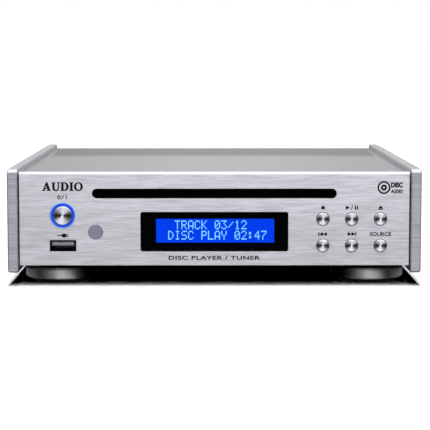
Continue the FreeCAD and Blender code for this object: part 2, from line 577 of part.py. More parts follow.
def power_inlet():
    body = block((INLET_X, 96.5, SOCKET_Z), (21.0, 20.0, 12.0))
    flange = box((INLET_X - 18.0, INLET_X + 18.0), (REAR_FACE + 0.02, REAR_FACE + 1.6),
                 (SOCKET_Z - 8.0, SOCKET_Z + 8.0))
    flange = round_along(flange, 1, 2.0)
    well = rounded_y((INLET_X - 8.2, INLET_X + 8.2), (96.0, 109.0), (SOCKET_Z - 4.1, SOCKET_Z + 4.1), 4.0)
    holes = [rod_y(1.6, x, (104.0, 109.0), z) for x, z in SOCKET_SCREWS[2:]]
    holes += [rod_y(1.2, INLET_X + dx, (90.0, 97.0), SOCKET_Z) for dx in (-4.3, 4.3)]
    return without(joined([body, flange]), [well, *holes])


def inlet_pins():
    pins = [rod_y(1.2, INLET_X + dx, (91.0, 105.0), SOCKET_Z) for dx in (-4.3, 4.3)]
    return group([p.makeChamfer(0.4, rim(p, lambda c: c.Center.y > 104)) for p in pins])


# ---------------------------------------------------------------- boards and supply
def circuit_boards():
    """The audio board and the supply board at the back, and the servo board under the mechanism."""
    thick = (BOARD_Z, BOARD_Z + BOARD_T)
    holes = [rod_z(1.6, x, y, (BOARD_Z - 1, BOARD_Z + 3)) for x, y in BOARD_POSTS]
    spans = (((-8.0, 97.0), (56.0, 104.0)), ((-97.0, -68.0), (55.0, 88.0)), ((-58.0, 58.0), (-84.0, 38.0)))
    return group([without(box(x, y, thick), holes) for x, y in spans])


def board_parts():
    """Capacitors, chips, a heat sink and plugs, standing on the boards."""
    top = BOARD_Z + BOARD_T
    cans = [(10, 66, 5.0, 16), (23, 66, 5.0, 16), (36, 66, 4.0, 12), (-82.5, 66, 6.0, 22), (-82.5, 80, 5.0, 14)]
    made = [rod_z(r, x, y, (top, top + h)) for x, y, r, h in cans]
    chips = [(62, 70, 14, 14), (16, 82, 9, 6), (40, 82, 6, 5), (0, -40, 18, 18), (-30, -20, 12, 8), (28, -20, 8, 12)]
    made += [box((x - w / 2, x + w / 2), (y - d / 2, y + d / 2), (top, top + 1.6)) for x, y, w, d in chips]
    fins = [box((x, x + 1.2), (62.0, 80.0), (top + 2.9, top + 18)) for x in (76.0, 79.5, 83.0)]
    made.append(joined([box((76.0, 84.2), (62.0, 80.0), (top, top + 3)), *fins]))
    made += [block((x, y, top + 3), (w, 5, 6)) for x, y, w in ((52, 59, 14), (-20, 30, 22), (20, 30, 16))]
    return group(made)


def transformer():
    ring = [(9.5, 14.5), (11.0, 13.0), (23.5, 13.0), (25.0, 14.5), (25.0, 39.5), (23.5, 41.0), (11.0, 41.0),
            (9.5, 39.5)]
    return turned(ring, (TOROID_X, TOROID_Y, 0), (0, 0, 1))


def transformer_clamp():
    dish = turned([(3.05, 41.1), (17.0, 41.1), (17.0, 42.3), (3.05, 42.3)], (TOROID_X, TOROID_Y, 0), (0, 0, 1))
    bolt = joined([rod_z(3.0, TOROID_X, TOROID_Y, (BASE_Z, 46.0)),
                   moved(hexagon(10.0, 3.0), TOROID_X, TOROID_Y, 42.3)])
    return group([dish, bolt])


# ---------------------------------------------------------------- disc mechanism, fixed parts
def mech_frame():
    """The pressed frame: two walls, a top with the disc guide, and feet that sit on the posts."""
    inside = MECH_HALF - SHEET
    side = box((inside, MECH_HALF), (MECH_FRONT, MECH_REAR), (MECH_BOTTOM, MECH_TOP))
    foot = [box((MECH_HALF - 0.5, 80.0), (y - 6, y + 6), (MECH_BOTTOM, MECH_BOTTOM + SHEET)) for y in (-60.0, 35.0)]
    tabs = [box((56.0, inside + 0.5), (y - 5, y + 5), (39.3, 40.5)) for y in (-52.0, 40.0)]
    right = [side, *foot, *tabs]
    left = [s.mirror(V(0, 0, 0), V(1, 0, 0)) for s in right]
    top = box((-MECH_HALF, MECH_HALF), (MECH_FRONT, MECH_REAR), (MECH_TOP - 1, MECH_TOP))
    guide = box((-62.0, 62.0), (ROLLER_Y - 3, ROLLER_Y + 3), (49.4, MECH_TOP - 0.5))
    ears = [box((x, x + 2.0), (ARM_Y - 2.2, ARM_Y + 2.2), (MECH_TOP - 0.5, ARM_Z + 1.8)) for x in (-18.0, 16.0)]
    frame = joined([top, guide, *right, *left, *ears])
    holes = [rod_z(1.6, x, y, (MECH_BOTTOM - 1, MECH_BOTTOM + 3)) for x, y in MECH_POSTS]
    holes += [rod_z(2.05, sx * 60.0, y, (38.0, 42.0)) for sx in (-1, 1) for y in (-52.0, 40.0)]
    holes.append(rod_x(1.55, (-75.0, 75.0), HINGE_Y, HINGE_Z))
    holes.append(rod_x(1.05, (-20.0, 20.0), ARM_Y, ARM_Z))
    arm_room = box((-15.5, 15.5), (-42.0, -5.0), (MECH_TOP - 2, MECH_TOP + 1))
    holes.append(round_along(arm_room, 2, 6.0))
    for side_x in (-44.0, 44.0):
        for y in (-58.0, -8.0):
            window = box((side_x - 14, side_x + 14), (y, y + 36), (MECH_TOP - 2, MECH_TOP + 1))
            holes.append(round_along(window, 2, 4.0))
    return without(frame, holes)


def mech_dampers():
    """Rubber grommets that carry the deck on the frame's tabs."""
    profile = [(0.8, 40.5), (4.0, 40.5), (4.0, DECK_Z), (0.8, DECK_Z)]
    return group([turned(profile, (sx * 60.0, y, 0), (0, 0, 1)) for sx in (-1, 1) for y in (-52.0, 40.0)])


def traverse_deck():
    """The plate that holds the motor, the rods and the sled, with lugs for the rods and a gear pin."""
    plate = box((-64.0, 64.0), (-60.0, 51.0), (DECK_Z, DECK_Z + DECK_T))
    lugs = [box((sx * ROD_X - 2.6, sx * ROD_X + 2.6), span, (35.4, DECK_Z + 0.2))
            for sx in (-1, 1) for span in ((-15.5, -11.5), (47.0, 51.0))]
    pin = rod_z(1.0, GEAR_X, GEAR_Y, (34.6, DECK_Z + 0.2))
    washer = rod_z(2.2, GEAR_X, GEAR_Y, (34.6, 35.4))
    deck = joined([round_along(plate, 2, 3.0), *lugs, pin, washer])
    holes = [rod_z(9.0, 0, SPINDLE_Y, (41.0, 45.0))]
    holes.append(box((-21.0, 21.0), (-9.5, 46.5), (41.0, 45.0)))
    holes += [rod_y(ROD_R, sx * ROD_X, (-14.0, 50.0), ROD_Z) for sx in (-1, 1)]
    holes += [rod_z(0.75, sx * 60.0, y, (41.0, 45.0)) for sx in (-1, 1) for y in (-52.0, 40.0)]
    return without(deck, holes)


def spindle_motor():
    top = DECK_Z - 0.02
    return turned([(1.05, 33.0), (13.0, 33.0), (13.6, 33.6), (13.6, top), (1.05, top)],
                  (0, SPINDLE_Y, 0), (0, 0, 1))


def guide_rods():
    return group([rod_y(ROD_R, sx * ROD_X, (-14.0, 50.0), ROD_Z) for sx in (-1, 1)])


def sled_motor():
    """A small can motor on two posts under the deck."""
    x, y = motor_place()
    can = rod_z(7.0, x, y, (25.0, 35.0))
    can = can.makeFillet(0.8, can.Edges)
    nose = rod_z(2.0, x, y, (34.9, 36.0))
    posts = [rod_z(1.2, x + dx, y + dy, (34.0, DECK_Z)) for dx, dy in ((5.0, -3.5), (-1.5, -5.5))]
    return joined([can, nose, *posts]).cut(rod_z(0.85, x, y, (30.0, 37.0)))


# ---------------------------------------------------------------- disc mechanism, moving parts
def turntable():
    profile = [(0, 44.6), (15.0, 44.6), (15.0, 46.4), (7.4, 46.4), (7.0, 47.2), (5.6, 47.6), (0, 47.6)]
    disc = turned(profile, (0, SPINDLE_Y, 0), (0, 0, 1))
    return joined([disc, rod_z(1.0, 0, SPINDLE_Y, (33.6, 44.8)), rod_z(6.0, 0, SPINDLE_Y, (43.0, 44.8))])


def pickup_sled():
    """The optical sled: a cast body on two rods, with the rack that drives it."""
    body = box((-19.5, 19.5), (-8.6, 9.4), (33.6, 41.8))
    head = box((-10.0, 10.0), (-7.6, 7.0), (41.6, 43.2))
    ears = [rod_y(2.6, sx * ROD_X, (-8.6, 9.4), ROD_Z) for sx in (-1, 1)]
    webs = [box(span, (-8.6, 9.4), (36.0, 40.0)) for span in ((19.0, 23.0), (-23.0, -19.0))]
    link = box((24.0, 30.0), (-8.0, 6.0), (36.2, 38.6))
    first, teeth_count = -37.0, 27
    bar = box((28.0, RACK_LINE - DEDENDUM), (first, 6.5), (36.2, 38.6))
    teeth = []
    tan = math.tan(PRESSURE)
    half = math.pi * MODULE / 4 - BACKLASH / 2
    for n in range(teeth_count):
        y = (n - 23 + 0.5) * math.pi * MODULE
        wide, narrow = half + DEDENDUM * tan, half - ADDENDUM * tan
        foot_x, tip_x = RACK_LINE - DEDENDUM, RACK_LINE + ADDENDUM
        outline = [V(foot_x - 0.3, y - wide, 36.2), V(foot_x, y - wide, 36.2), V(tip_x, y - narrow, 36.2),
                   V(tip_x, y + narrow, 36.2), V(foot_x, y + wide, 36.2), V(foot_x - 0.3, y + wide, 36.2)]
        teeth.append(Part.Face(Part.makePolygon(outline + outline[:1])).extrude(V(0, 0, 2.4)))
    sled = joined([body, head, *ears, *webs, link, bar, *teeth])
    holes = [rod_y(ROD_R + 0.05, sx * ROD_X, (-12.0, 12.0), ROD_Z) for sx in (-1, 1)]
    holes.append(rod_z(3.0, 0, -1.0, (40.5, 44.0)))
    return without(sled, holes)


def objective_lens():
    """A lens in its holder, which floats on fine wires so that it can follow a warped disc."""
    return turned([(0, 41.4), (2.9, 41.4), (2.9, 43.9), (2.2, 44.3), (0, 44.5)], (0, -1.0, 0), (0, 0, 1))


def motor_place():
    """The sled motor stands where its pinion meets the big gear, behind and beside it."""
    distance = MODULE * (32 + 12) / 2
    return GEAR_X + distance * math.cos(math.radians(-45)), GEAR_Y + distance * math.sin(math.radians(-45))


def sled_gear():
    """A double gear: small teeth on the rack, large teeth on the motor pinion."""
    small = moved(gear(14, 3.0, 0, math.pi), 0, 0, 0)
    large = moved(gear(32, 2.0, 0, math.radians(-45)), 0, 0, 3.4)
    hub = Part.makeCylinder(4.2, 0.6, V(0, 0, 2.9))
    return moved(joined([small, large, hub]).cut(Part.makeCylinder(1.05, 8)), GEAR_X, GEAR_Y, 35.9)


def sled_pinion():
    x, y = motor_place()
    phase = math.radians(135) + math.pi / 12
    pinion = moved(gear(12, 2.4, 0, phase), x, y, 39.1)
    return joined([pinion, rod_z(0.8, x, y, (31.0, 39.3))])


def clamp_arm():
    """A sheet arm over the disc, on a cross pin at its back end."""
    sheet = box((-13.0, 13.0), (-39.0, ARM_Y - 1.0), (54.1, 55.1))
    sheet = round_along(sheet, 2, 9.0, lambda e: e.CenterOfMass.y < -30)
    ribs = [box((x, x + 1.0), (-8.0, ARM_Y - 2), (54.9, 56.0)) for x in (-12.0, 11.0)]
    barrel = rod_x(1.5, (-15.6, 15.6), ARM_Y, ARM_Z)
    pin = rod_x(1.0, (-18.4, 18.4), ARM_Y, ARM_Z)
    bridge = box((-13.0, 13.0), (ARM_Y - 1.4, ARM_Y), (54.1, 55.1))
    return joined([sheet, *ribs, barrel, pin, bridge]).cut(rod_z(3.5, 0, SPINDLE_Y, (53.0, 57.0)))


def clamper():
    """The free disc that presses a disc onto the turntable, hanging from the arm by its cap."""
    profile = [(0, 50.7), (7.9, 50.7), (7.9, 49.7), (13.0, 49.7), (13.0, 51.2), (3.0, 51.9), (3.0, 55.3),
               (5.0, 55.3), (5.0, 56.2), (0, 56.2)]
    return turned(profile, (0, SPINDLE_Y, 0), (0, 0, 1))


def roller_carriage():
    """The hinged bracket under the slot that carries the loading roller, its gears and motor."""
    outline = [(HINGE_Y + 3.5, HINGE_Z - 3.5), (HINGE_Y + 3.5, HINGE_Z + 3.5), (-84.0, 45.0), (-93.0, 46.0),
               (-93.5, 41.0), (-88.0, 34.0), (-87.0, 24.0), (-76.0, 24.0)]
    cheeks = []
    for x in (61.8, -63.0):
        points = [V(x, y, z) for y, z in outline]
        cheeks.append(Part.Face(Part.makePolygon(points + points[:1])).extrude(V(SHEET, 0, 0)))
    beam = box((-62.0, 62.0), (HINGE_Y - 2.5, HINGE_Y + 2.5), (HINGE_Z - 3.0, HINGE_Z - 1.8))
    web = box((-62.0, 62.0), (HINGE_Y - 2.5, HINGE_Y - 1.3), (HINGE_Z - 3.0, HINGE_Z + 3.0))
    pins = [rod_x(1.5, span, HINGE_Y, HINGE_Z) for span in ((62.5, MECH_HALF), (-MECH_HALF, -62.5))]
    idler_y, idler_z = idler_place()
    axle = rod_x(1.0, (62.5, 67.4), idler_y, idler_z)
    bracket = joined([*cheeks, beam, web, *pins, axle])
    pinion_y, pinion_z = loader_place()
    holes = [rod_x(1.05, (-70.0, 70.0), ROLLER_Y, ROLLER_Z), rod_x(2.3, (60.0, 65.0), pinion_y, pinion_z)]
    return without(bracket, holes)


IDLER_ANGLE, LOADER_ANGLE = math.radians(-16), math.radians(-106)


def idler_place():
    """The idler lies behind and a little under the roller."""
    distance = MODULE * (20 + 30) / 2
    return ROLLER_Y + distance * math.cos(IDLER_ANGLE), ROLLER_Z + distance * math.sin(IDLER_ANGLE)


def loader_place():
    """The loading motor's pinion is under the idler."""
    y, z = idler_place()
    distance = MODULE * (30 + 12) / 2
    return y + distance * math.cos(LOADER_ANGLE), z + distance * math.sin(LOADER_ANGLE)


def load_roller():
    """A rubber roller, thinner in the middle so that it touches a disc only near its rim, on its shaft and gear."""
    profile = [(0.9, -60.0), (ROLLER_R, -60.0), (ROLLER_R - 0.7, -6.0), (ROLLER_R - 0.7, 6.0), (ROLLER_R, 60.0),
               (0.9, 60.0)]
    rubber = turned(profile, (0, ROLLER_Y, ROLLER_Z), (1, 0, 0))
    shaft = rod_x(1.0, (-64.2, GEAR_PLANE + 1.2), ROLLER_Y, ROLLER_Z)
    teeth = along_x(gear(20, 2.4, 0.9, IDLER_ANGLE), GEAR_PLANE - 1.2, ROLLER_Y, ROLLER_Z)
    return joined([rubber, shaft, teeth])


def load_idler():
    y, z = idler_place()
    phase = IDLER_ANGLE + math.pi + math.pi / 30
    return along_x(gear(30, 2.0, 1.05, phase), GEAR_PLANE - 1.0, y, z)


def load_pinion():
    """Its teeth leave a gap where the idler's nearest tooth stands."""
    y, z = loader_place()
    step = 2 * math.pi / 30
    idler_tooth = IDLER_ANGLE + math.pi + math.pi / 30
    off = (LOADER_ANGLE - idler_tooth) % step
    phase = LOADER_ANGLE + math.pi + math.pi / 12 + off * 30 / 12
    teeth = along_x(gear(12, 2.4, 0, phase), GEAR_PLANE - 1.2, y, z)
    return joined([teeth, rod_x(0.8, (50.0, GEAR_PLANE), y, z)])


def load_motor():
    y, z = loader_place()
    can = rod_x(7.5, (41.0, 61.7), y, z)
    can = can.makeFillet(0.8, can.Edges)
    nose = rod_x(2.2, (61.0, 62.6), y, z)
    return joined([can, nose, rod_x(2.5, (39.6, 41.2), y, z)]).cut(rod_x(0.85, (49.0, 63.0), y, z))


# ---------------------------------------------------------------- the assembly
def parts():
    """Every node's name and shape."""
    made = {f.__name__: f() for f in (
        chassis_base, top_cover, rear_panel, front_panel, side_plate_screws, case_screws, foot_rings, foot_pads,
        display_window, display_mask, lcd_panel, lcd_holder, power_button, power_light_ring,
        remote_sensor_lens, usb_shell, usb_tongue, slot_felts, front_board, tact_switches, phono_barrels,
        jack_block, optical_socket, optical_shutter, aerial_socket, power_inlet, inlet_pins, circuit_boards,
        board_parts, transformer, transformer_clamp, mech_frame, mech_dampers,
        traverse_deck, spindle_motor, guide_rods, sled_motor, turntable, pickup_sled, objective_lens, sled_gear,
        sled_pinion, clamp_arm, clamper, roller_carriage, load_roller, load_idler, load_pinion, load_motor)}
    made["left_side_plate"] = side_plate(-1)
    made["right_side_plate"] = side_plate(1)
    made.update({name: key(x, z) for name, (x, z) in KEYS.items()})
    made.update({name: phono_insert(x) for name, x in PHONO_X.items()})
    return made


def main():
    os.makedirs("parts", exist_ok=True)
    for name, shape in parts().items():
        sound = shape.isValid() and all(s.isClosed() and s.Volume > 0 for s in shape.Solids)
        if not sound or not shape.Solids:
            raise SystemExit(f"{name} is not a closed solid")
        shape.exportStep(f"parts/{name}.step")
        print(f"{name}: {len(shape.Solids)} solids, {shape.Volume:.0f} mm3")


main()
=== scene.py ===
import math
import bpy
from mathutils import Matrix


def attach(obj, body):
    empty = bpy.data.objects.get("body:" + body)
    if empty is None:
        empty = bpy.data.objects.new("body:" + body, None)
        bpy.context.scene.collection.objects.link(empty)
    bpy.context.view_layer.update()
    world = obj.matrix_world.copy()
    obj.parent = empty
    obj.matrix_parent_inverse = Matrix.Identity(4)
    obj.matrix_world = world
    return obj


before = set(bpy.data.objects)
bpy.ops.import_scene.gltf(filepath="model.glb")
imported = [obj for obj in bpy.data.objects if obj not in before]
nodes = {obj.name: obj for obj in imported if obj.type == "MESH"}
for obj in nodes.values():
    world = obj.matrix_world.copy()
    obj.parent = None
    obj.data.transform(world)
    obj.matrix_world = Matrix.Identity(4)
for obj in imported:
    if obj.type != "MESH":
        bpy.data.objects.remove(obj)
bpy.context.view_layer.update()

# A slot-loading disc player. Lengths in the tables below are in millimetres and become metres in the meshes.
MM = 0.001
FACE_Y = -114.0      # the front of the front panel
REAR_Y = 106.0       # the back of the rear panel
INK = 0.03           # how far a print stands off its surface
INK_SPREAD = 0.08    # how far the ink of a sign runs past its drawing
POWER_X, POWER_Z = -78.7, 36.9                      # the middle of the power key; the memory port is below it
LEFT_KEY, MIDDLE_KEY, RIGHT_KEY = 56.4, 71.35, 86.3
UPPER_ROW, LOWER_ROW = 35.0, 21.15                  # the heights of the two rows of keys
UPPER_SIGNS, LOWER_SIGNS = 40.9, 27.1               # and of the signs above them
SOCKET_WORDS, GROUP_WORDS = 38.4, 42.2              # the heights of the words on the back
FEET_MIDDLE = (0.0, -3.75, 0.0)
FOOT_FROM_MIDDLE = (81.5, 84.75, 0.0)

# Limits that the finishes fade between, in metres.
WALL_DEPTH = ((FACE_Y + 0.28) * MM, (FACE_Y + 0.34) * MM)     # where the walls of the panel's openings begin
PANEL_ENDS = (0.0995, 0.1005)
PANEL_TOP = (0.057, 0.0575)
PAINTED_LIGHT_HEIGHT = (0.012, 0.056)
PANEL_BEVEL = (0.05845, 0.0588)
FOOT_INNER_SIDE = (0.064, 0.076)
FOOT_NECK = (0.00755, 0.00765)
LIT_RING = (4.9 * MM, 6.7 * MM)                               # from its inner edge to its outer one


# ---------------------------------------------------------------- colour and node helpers

def linear(shade):
    """An sRGB hex colour as a linear one."""
    parts = [int(shade[i:i + 2], 16) / 255 for i in (0, 2, 4)]
    return tuple(p / 12.92 if p <= 0.04045 else ((p + 0.055) / 1.055) ** 2.4 for p in parts) + (1.0,)


def add(tree, kind, settings=None, inputs=None):
    """Adds one node. Its inputs go by name or number, or all in order as a list. Each is given a value, a
    node (its first output) or a pair of a node and an output."""
    made = tree.nodes.new(kind)
    for name, value in (settings or {}).items():
        setattr(made, name, value)
    if isinstance(inputs, list):
        inputs = dict(enumerate(inputs))
    for name, value in (inputs or {}).items():
        if isinstance(value, bpy.types.Node):
            value = (value, 0)
        if isinstance(value, tuple) and isinstance(value[0], bpy.types.Node):
            tree.links.new(value[0].outputs[value[1]], made.inputs[name])
        else:
            made.inputs[name].default_value = value
    return made


def blank(name):
    """A new material with an empty node tree."""
    material = bpy.data.materials.new(name)
    material.use_nodes = True
    material.node_tree.nodes.clear()
    return material, material.node_tree


# Moves a value smoothly from one range into another, in a Map Range node.
SOFT = {"interpolation_type": "SMOOTHSTEP"}


def grain(tree, stretch, detail=2.0, roughness=0.5):
    """A noise on the piece's own coordinates. stretch is how many grains lie in a metre along each axis."""
    place = add(tree, "ShaderNodeTexCoord")
    mapped = add(tree, "ShaderNodeMapping", {}, {"Vector": (place, "Object"), "Scale": stretch})
    return add(tree, "ShaderNodeTexNoise", {}, {
        "Vector": mapped, "Scale": 1.0, "Detail": detail, "Roughness": roughness})


# ---------------------------------------------------------------- metals

def across_lines(tree, line):
    """The direction over the surface and across its brush lines. The light spreads that way."""
    facing = add(tree, "ShaderNodeNewGeometry")
    return add(tree, "ShaderNodeVectorMath", {"operation": "CROSS_PRODUCT"}, {0: (facing, "Normal"), 1: line})


def brushed_panel(name, dark, light):
    """Aluminium brushed along X with a belt and clear anodised: half-millimetre hairlines, one or two
    centimetres long, in faint wider bands. The walls of its openings are painted black as shade, so they
    read as holes; the top is painted lighter and its bevel carries a painted highlight."""
    material, tree = blank(name)
    place = add(tree, "ShaderNodeTexCoord")
    at = add(tree, "ShaderNodeSeparateXYZ", {}, {0: (place, "Object")})
    # painted shade: the walls of the openings, which lie behind the face, are painted black; the panel's own
    # ends and top are left bright
    deep = add(tree, "ShaderNodeMapRange", SOFT, [(at, 1), *WALL_DEPTH, 0.0, 1.0])
    inside = add(tree, "ShaderNodeMapRange", SOFT, [
        add(tree, "ShaderNodeMath", {"operation": "ABSOLUTE"}, [(at, 0)]),
        *PANEL_ENDS, 1.0, 0.0])
    below = add(tree, "ShaderNodeMapRange", SOFT, [(at, 2), *PANEL_TOP, 1.0, 0.0])
    wall = add(tree, "ShaderNodeMath", {"operation": "MULTIPLY"}, [
        add(tree, "ShaderNodeMath", {"operation": "MULTIPLY"}, [deep, inside]),
        below])
    lines = grain(tree, (95, 2100, 2100), detail=3.0, roughness=0.7)
    bands = grain(tree, (48, 620, 620), detail=3.0, roughness=0.6)
    both = add(tree, "ShaderNodeMath", {"operation": "ADD"}, [
        add(tree, "ShaderNodeMath", {"operation": "MULTIPLY"}, [lines, 0.68]),
        add(tree, "ShaderNodeMath", {"operation": "MULTIPLY"}, [bands, 0.32])])
    # painted light: darker towards the bottom and lighter towards the top, as the light falls there
    grain_and_painted_light = add(tree, "ShaderNodeMath", {"operation": "ADD"}, [
        add(tree, "ShaderNodeMapRange", SOFT, [both, 0.36, 0.64, 0.0, 1.0]),
        add(tree, "ShaderNodeMapRange", SOFT, [(at, 2), *PAINTED_LIGHT_HEIGHT, -0.22, 0.16])])
    bright = (add(tree, "ShaderNodeMix", {"data_type": "RGBA"}, {
        0: grain_and_painted_light, 6: linear(dark), 7: linear(light)}), 2)
    # painted highlight: the bevel along the top is given an even light shade, where it catches the light
    bevel = add(tree, "ShaderNodeMapRange", SOFT, [(at, 2), *PANEL_BEVEL, 0.0, 1.0])
    bright = (add(tree, "ShaderNodeMix", {"data_type": "RGBA"}, {
        0: bevel, 6: bright, 7: linear("cfcfd6")}), 2)
    shader = add(tree, "ShaderNodeBsdfPrincipled", {}, {
        # the black on the walls of the openings is painted shade
        "Base Color": (add(tree, "ShaderNodeMix", {"data_type": "RGBA"}, {
            0: wall, 6: bright, 7: linear("060607")}), 2),
        "Metallic": 1.0,
        "Roughness": add(tree, "ShaderNodeMapRange", SOFT, [lines, 0.3, 0.7, 0.38, 0.5]),
        "Anisotropic": 0.9,
        "Tangent": across_lines(tree, (1.0, 0.0, 0.0)),
        "Normal": add(tree, "ShaderNodeBump", {}, {"Height": both, "Distance": 0.01 * MM, "Strength": 0.3}),
    })
    add(tree, "ShaderNodeOutputMaterial", {}, {"Surface": shader})
    return material


def brushed_plate(name, dark, light):
    """Brushed from front to back on the side plates, and across on their ends, which are painted darker as
    shade.
    """
    material, tree = blank(name)
    place = add(tree, "ShaderNodeTexCoord")
    parts = add(tree, "ShaderNodeSeparateXYZ", {}, {0: (place, "Normal")})
    end = add(tree, "ShaderNodeMapRange", SOFT, [
        add(tree, "ShaderNodeMath", {"operation": "ABSOLUTE"}, [(parts, 1)]),
        0.6, 0.8, 0.0, 1.0])
    long_lines = grain(tree, (1900, 30, 1900), detail=3.0, roughness=0.65)
    end_lines = grain(tree, (60, 1900, 1900), detail=3.0, roughness=0.65)
    lines = add(tree, "ShaderNodeMix", {"data_type": "FLOAT"}, {0: end, 2: long_lines, 3: end_lines})
    fine = add(tree, "ShaderNodeMapRange", SOFT, [lines, 0.36, 0.64, 0.0, 1.0])
    shader = add(tree, "ShaderNodeBsdfPrincipled", {}, {
        # painted shade: the ends get darker colours than the top and sides, as less light falls on them
        "Base Color": (add(tree, "ShaderNodeMix", {"data_type": "RGBA"}, {
            0: end,
            6: (add(tree, "ShaderNodeMix", {"data_type": "RGBA"}, {
                0: fine, 6: linear(dark), 7: linear(light)}), 2),
            7: (add(tree, "ShaderNodeMix", {"data_type": "RGBA"}, {
                0: fine, 6: linear("ababb3"), 7: linear("bfbfc6")}), 2)}), 2),
        "Metallic": 1.0,
        "Roughness": add(tree, "ShaderNodeMapRange", SOFT, [lines, 0.3, 0.7, 0.38, 0.5]),
        "Anisotropic": 0.6,
        "Tangent": across_lines(tree, (0.05, 1.0, 0.0)),
        "Normal": add(tree, "ShaderNodeBump", {}, {"Height": lines, "Distance": 0.01 * MM, "Strength": 0.3}),
    })
    add(tree, "ShaderNodeOutputMaterial", {}, {"Surface": shader})
    return material


def spun_aluminium(name, centre, axis, dark, light, roughness, feet=False):
    """Aluminium faced on a lathe and clear anodised: fine rings round the middle, so light falls in two
    fans."""
    material, tree = blank(name)
    place = add(tree, "ShaderNodeTexCoord")
    where = (place, "Object")
    if feet:
        # the four feet are one piece: each quarter is folded onto one of them, whose middle is the centre
        moved = add(tree, "ShaderNodeMapping", {}, {
            "Vector": where, "Location": tuple(-v * MM for v in FEET_MIDDLE)})
        where = add(tree, "ShaderNodeVectorMath", {"operation": "ABSOLUTE"}, {0: moved})
    out = add(tree, "ShaderNodeMapping", {}, {"Vector": where, "Location": tuple(-v * MM for v in centre)})
    flat = {"Y": (1.0, 0.0, 1.0), "Z": (1.0, 1.0, 0.0)}[axis]
    out = add(tree, "ShaderNodeVectorMath", {"operation": "MULTIPLY"}, {0: out, 1: flat})
    if feet:
        signs = add(tree, "ShaderNodeVectorMath", {"operation": "SIGN"}, {0: moved})
        out = add(tree, "ShaderNodeVectorMath", {"operation": "MULTIPLY"}, {0: out, 1: signs})
    radius = (add(tree, "ShaderNodeVectorMath", {"operation": "LENGTH"}, {0: out}), "Value")
    rings = add(tree, "ShaderNodeTexNoise", {"noise_dimensions": "1D"}, {
        "W": add(tree, "ShaderNodeMath", {"operation": "MULTIPLY"}, [radius, 3200.0]),
        "Scale": 1.0, "Detail": 2.0})
    shade = (add(tree, "ShaderNodeMix", {"data_type": "RGBA"}, {
        0: add(tree, "ShaderNodeMapRange", SOFT, [rings, 0.3, 0.7, 0.0, 1.0]),
        6: linear(dark), 7: linear(light)}), 2)
    if feet:
        # painted shade: the neck and the inner sides are painted black, as the shade under the player, so
        # only the outer rim of a foot shows light
        reach = add(tree, "ShaderNodeSeparateXYZ", {}, {0: (place, "Object")})
        unshaded_rim = add(tree, "ShaderNodeMath", {"operation": "MULTIPLY"}, [
            add(tree, "ShaderNodeMapRange", SOFT, [
                add(tree, "ShaderNodeMath", {"operation": "ABSOLUTE"}, [(reach, 0)]),
                *FOOT_INNER_SIDE, 0.0, 1.0]),
            add(tree, "ShaderNodeMapRange", SOFT, [(reach, 2), *FOOT_NECK, 1.0, 0.0])])
        shade = (add(tree, "ShaderNodeMix", {"data_type": "RGBA"}, {
            0: unshaded_rim, 6: linear("050505"), 7: shade}), 2)
    turning = {"Y": (0.0, 1.0, 0.0), "Z": (0.0, 0.0, 1.0)}[axis]
    round_way = add(tree, "ShaderNodeVectorMath", {"operation": "CROSS_PRODUCT"}, {0: turning, 1: out})
    shader = add(tree, "ShaderNodeBsdfPrincipled", {}, {
        "Base Color": shade,
        "Metallic": 1.0,
        "Roughness": add(tree, "ShaderNodeMapRange", SOFT, [
            rings, 0.3, 0.7, roughness - 0.04, roughness + 0.04]),
        "Anisotropic": 1.0,
        "Tangent": across_lines(tree, round_way),
        "Normal": add(tree, "ShaderNodeBump", {}, {"Height": rings, "Distance": 0.006 * MM, "Strength": 0.3}),
    })
    add(tree, "ShaderNodeOutputMaterial", {}, {"Surface": shader})
    return material


def silver_lacquer(name, dark, light):
    """Steel sheet sprayed with satin silver and a clear coat: metal flakes under a skin that mirrors low
    light."""
    material, tree = blank(name)
    flakes = grain(tree, (2600, 2600, 2600), detail=1.0)
    peel = grain(tree, (34, 14, 34), detail=1.0)
    skin = add(tree, "ShaderNodeBump", {}, {"Height": peel, "Distance": 0.01 * MM, "Strength": 0.4})
    shader = add(tree, "ShaderNodeBsdfPrincipled", {}, {
        "Base Color": (add(tree, "ShaderNodeMix", {"data_type": "RGBA"}, {
            0: add(tree, "ShaderNodeMapRange", SOFT, [flakes, 0.3, 0.7, 0.0, 1.0]),
            6: linear(dark), 7: linear(light)}), 2),
        "Metallic": 0.75,
        "Roughness": add(tree, "ShaderNodeMapRange", SOFT, [flakes, 0.3, 0.7, 0.38, 0.5]),
        "Coat Weight": 1.0,
        "Coat Roughness": 0.018,
        "Coat IOR": 1.5,
        "Coat Normal": skin,
        "Normal": add(tree, "ShaderNodeBump", {}, {
            "Height": flakes, "Distance": 0.006 * MM, "Strength": 0.3}),
    })
    add(tree, "ShaderNodeOutputMaterial", {}, {"Surface": shader})
    return material


def zinc_sheet(name, dark, light):
    """Cold rolled steel, zinc plated and pressed: a dull grey with faint cloudy patches a few millimetres
    wide."""
    material, tree = blank(name)
    clouds = grain(tree, (160, 160, 160), detail=4.0, roughness=0.6)
    rolled = grain(tree, (1400, 40, 1400), detail=2.0)
    shader = add(tree, "ShaderNodeBsdfPrincipled", {}, {
        "Base Color": (add(tree, "ShaderNodeMix", {"data_type": "RGBA"}, {
            0: add(tree, "ShaderNodeMapRange", SOFT, [clouds, 0.3, 0.7, 0.0, 1.0]),
            6: linear(dark), 7: linear(light)}), 2),
        "Metallic": 1.0,
        "Roughness": add(tree, "ShaderNodeMapRange", SOFT, [rolled, 0.3, 0.7, 0.34, 0.48]),
        "Normal": add(tree, "ShaderNodeBump", {}, {
            "Height": rolled, "Distance": 0.01 * MM, "Strength": 0.25}),
    })
    add(tree, "ShaderNodeOutputMaterial", {}, {"Surface": shader})
    return material


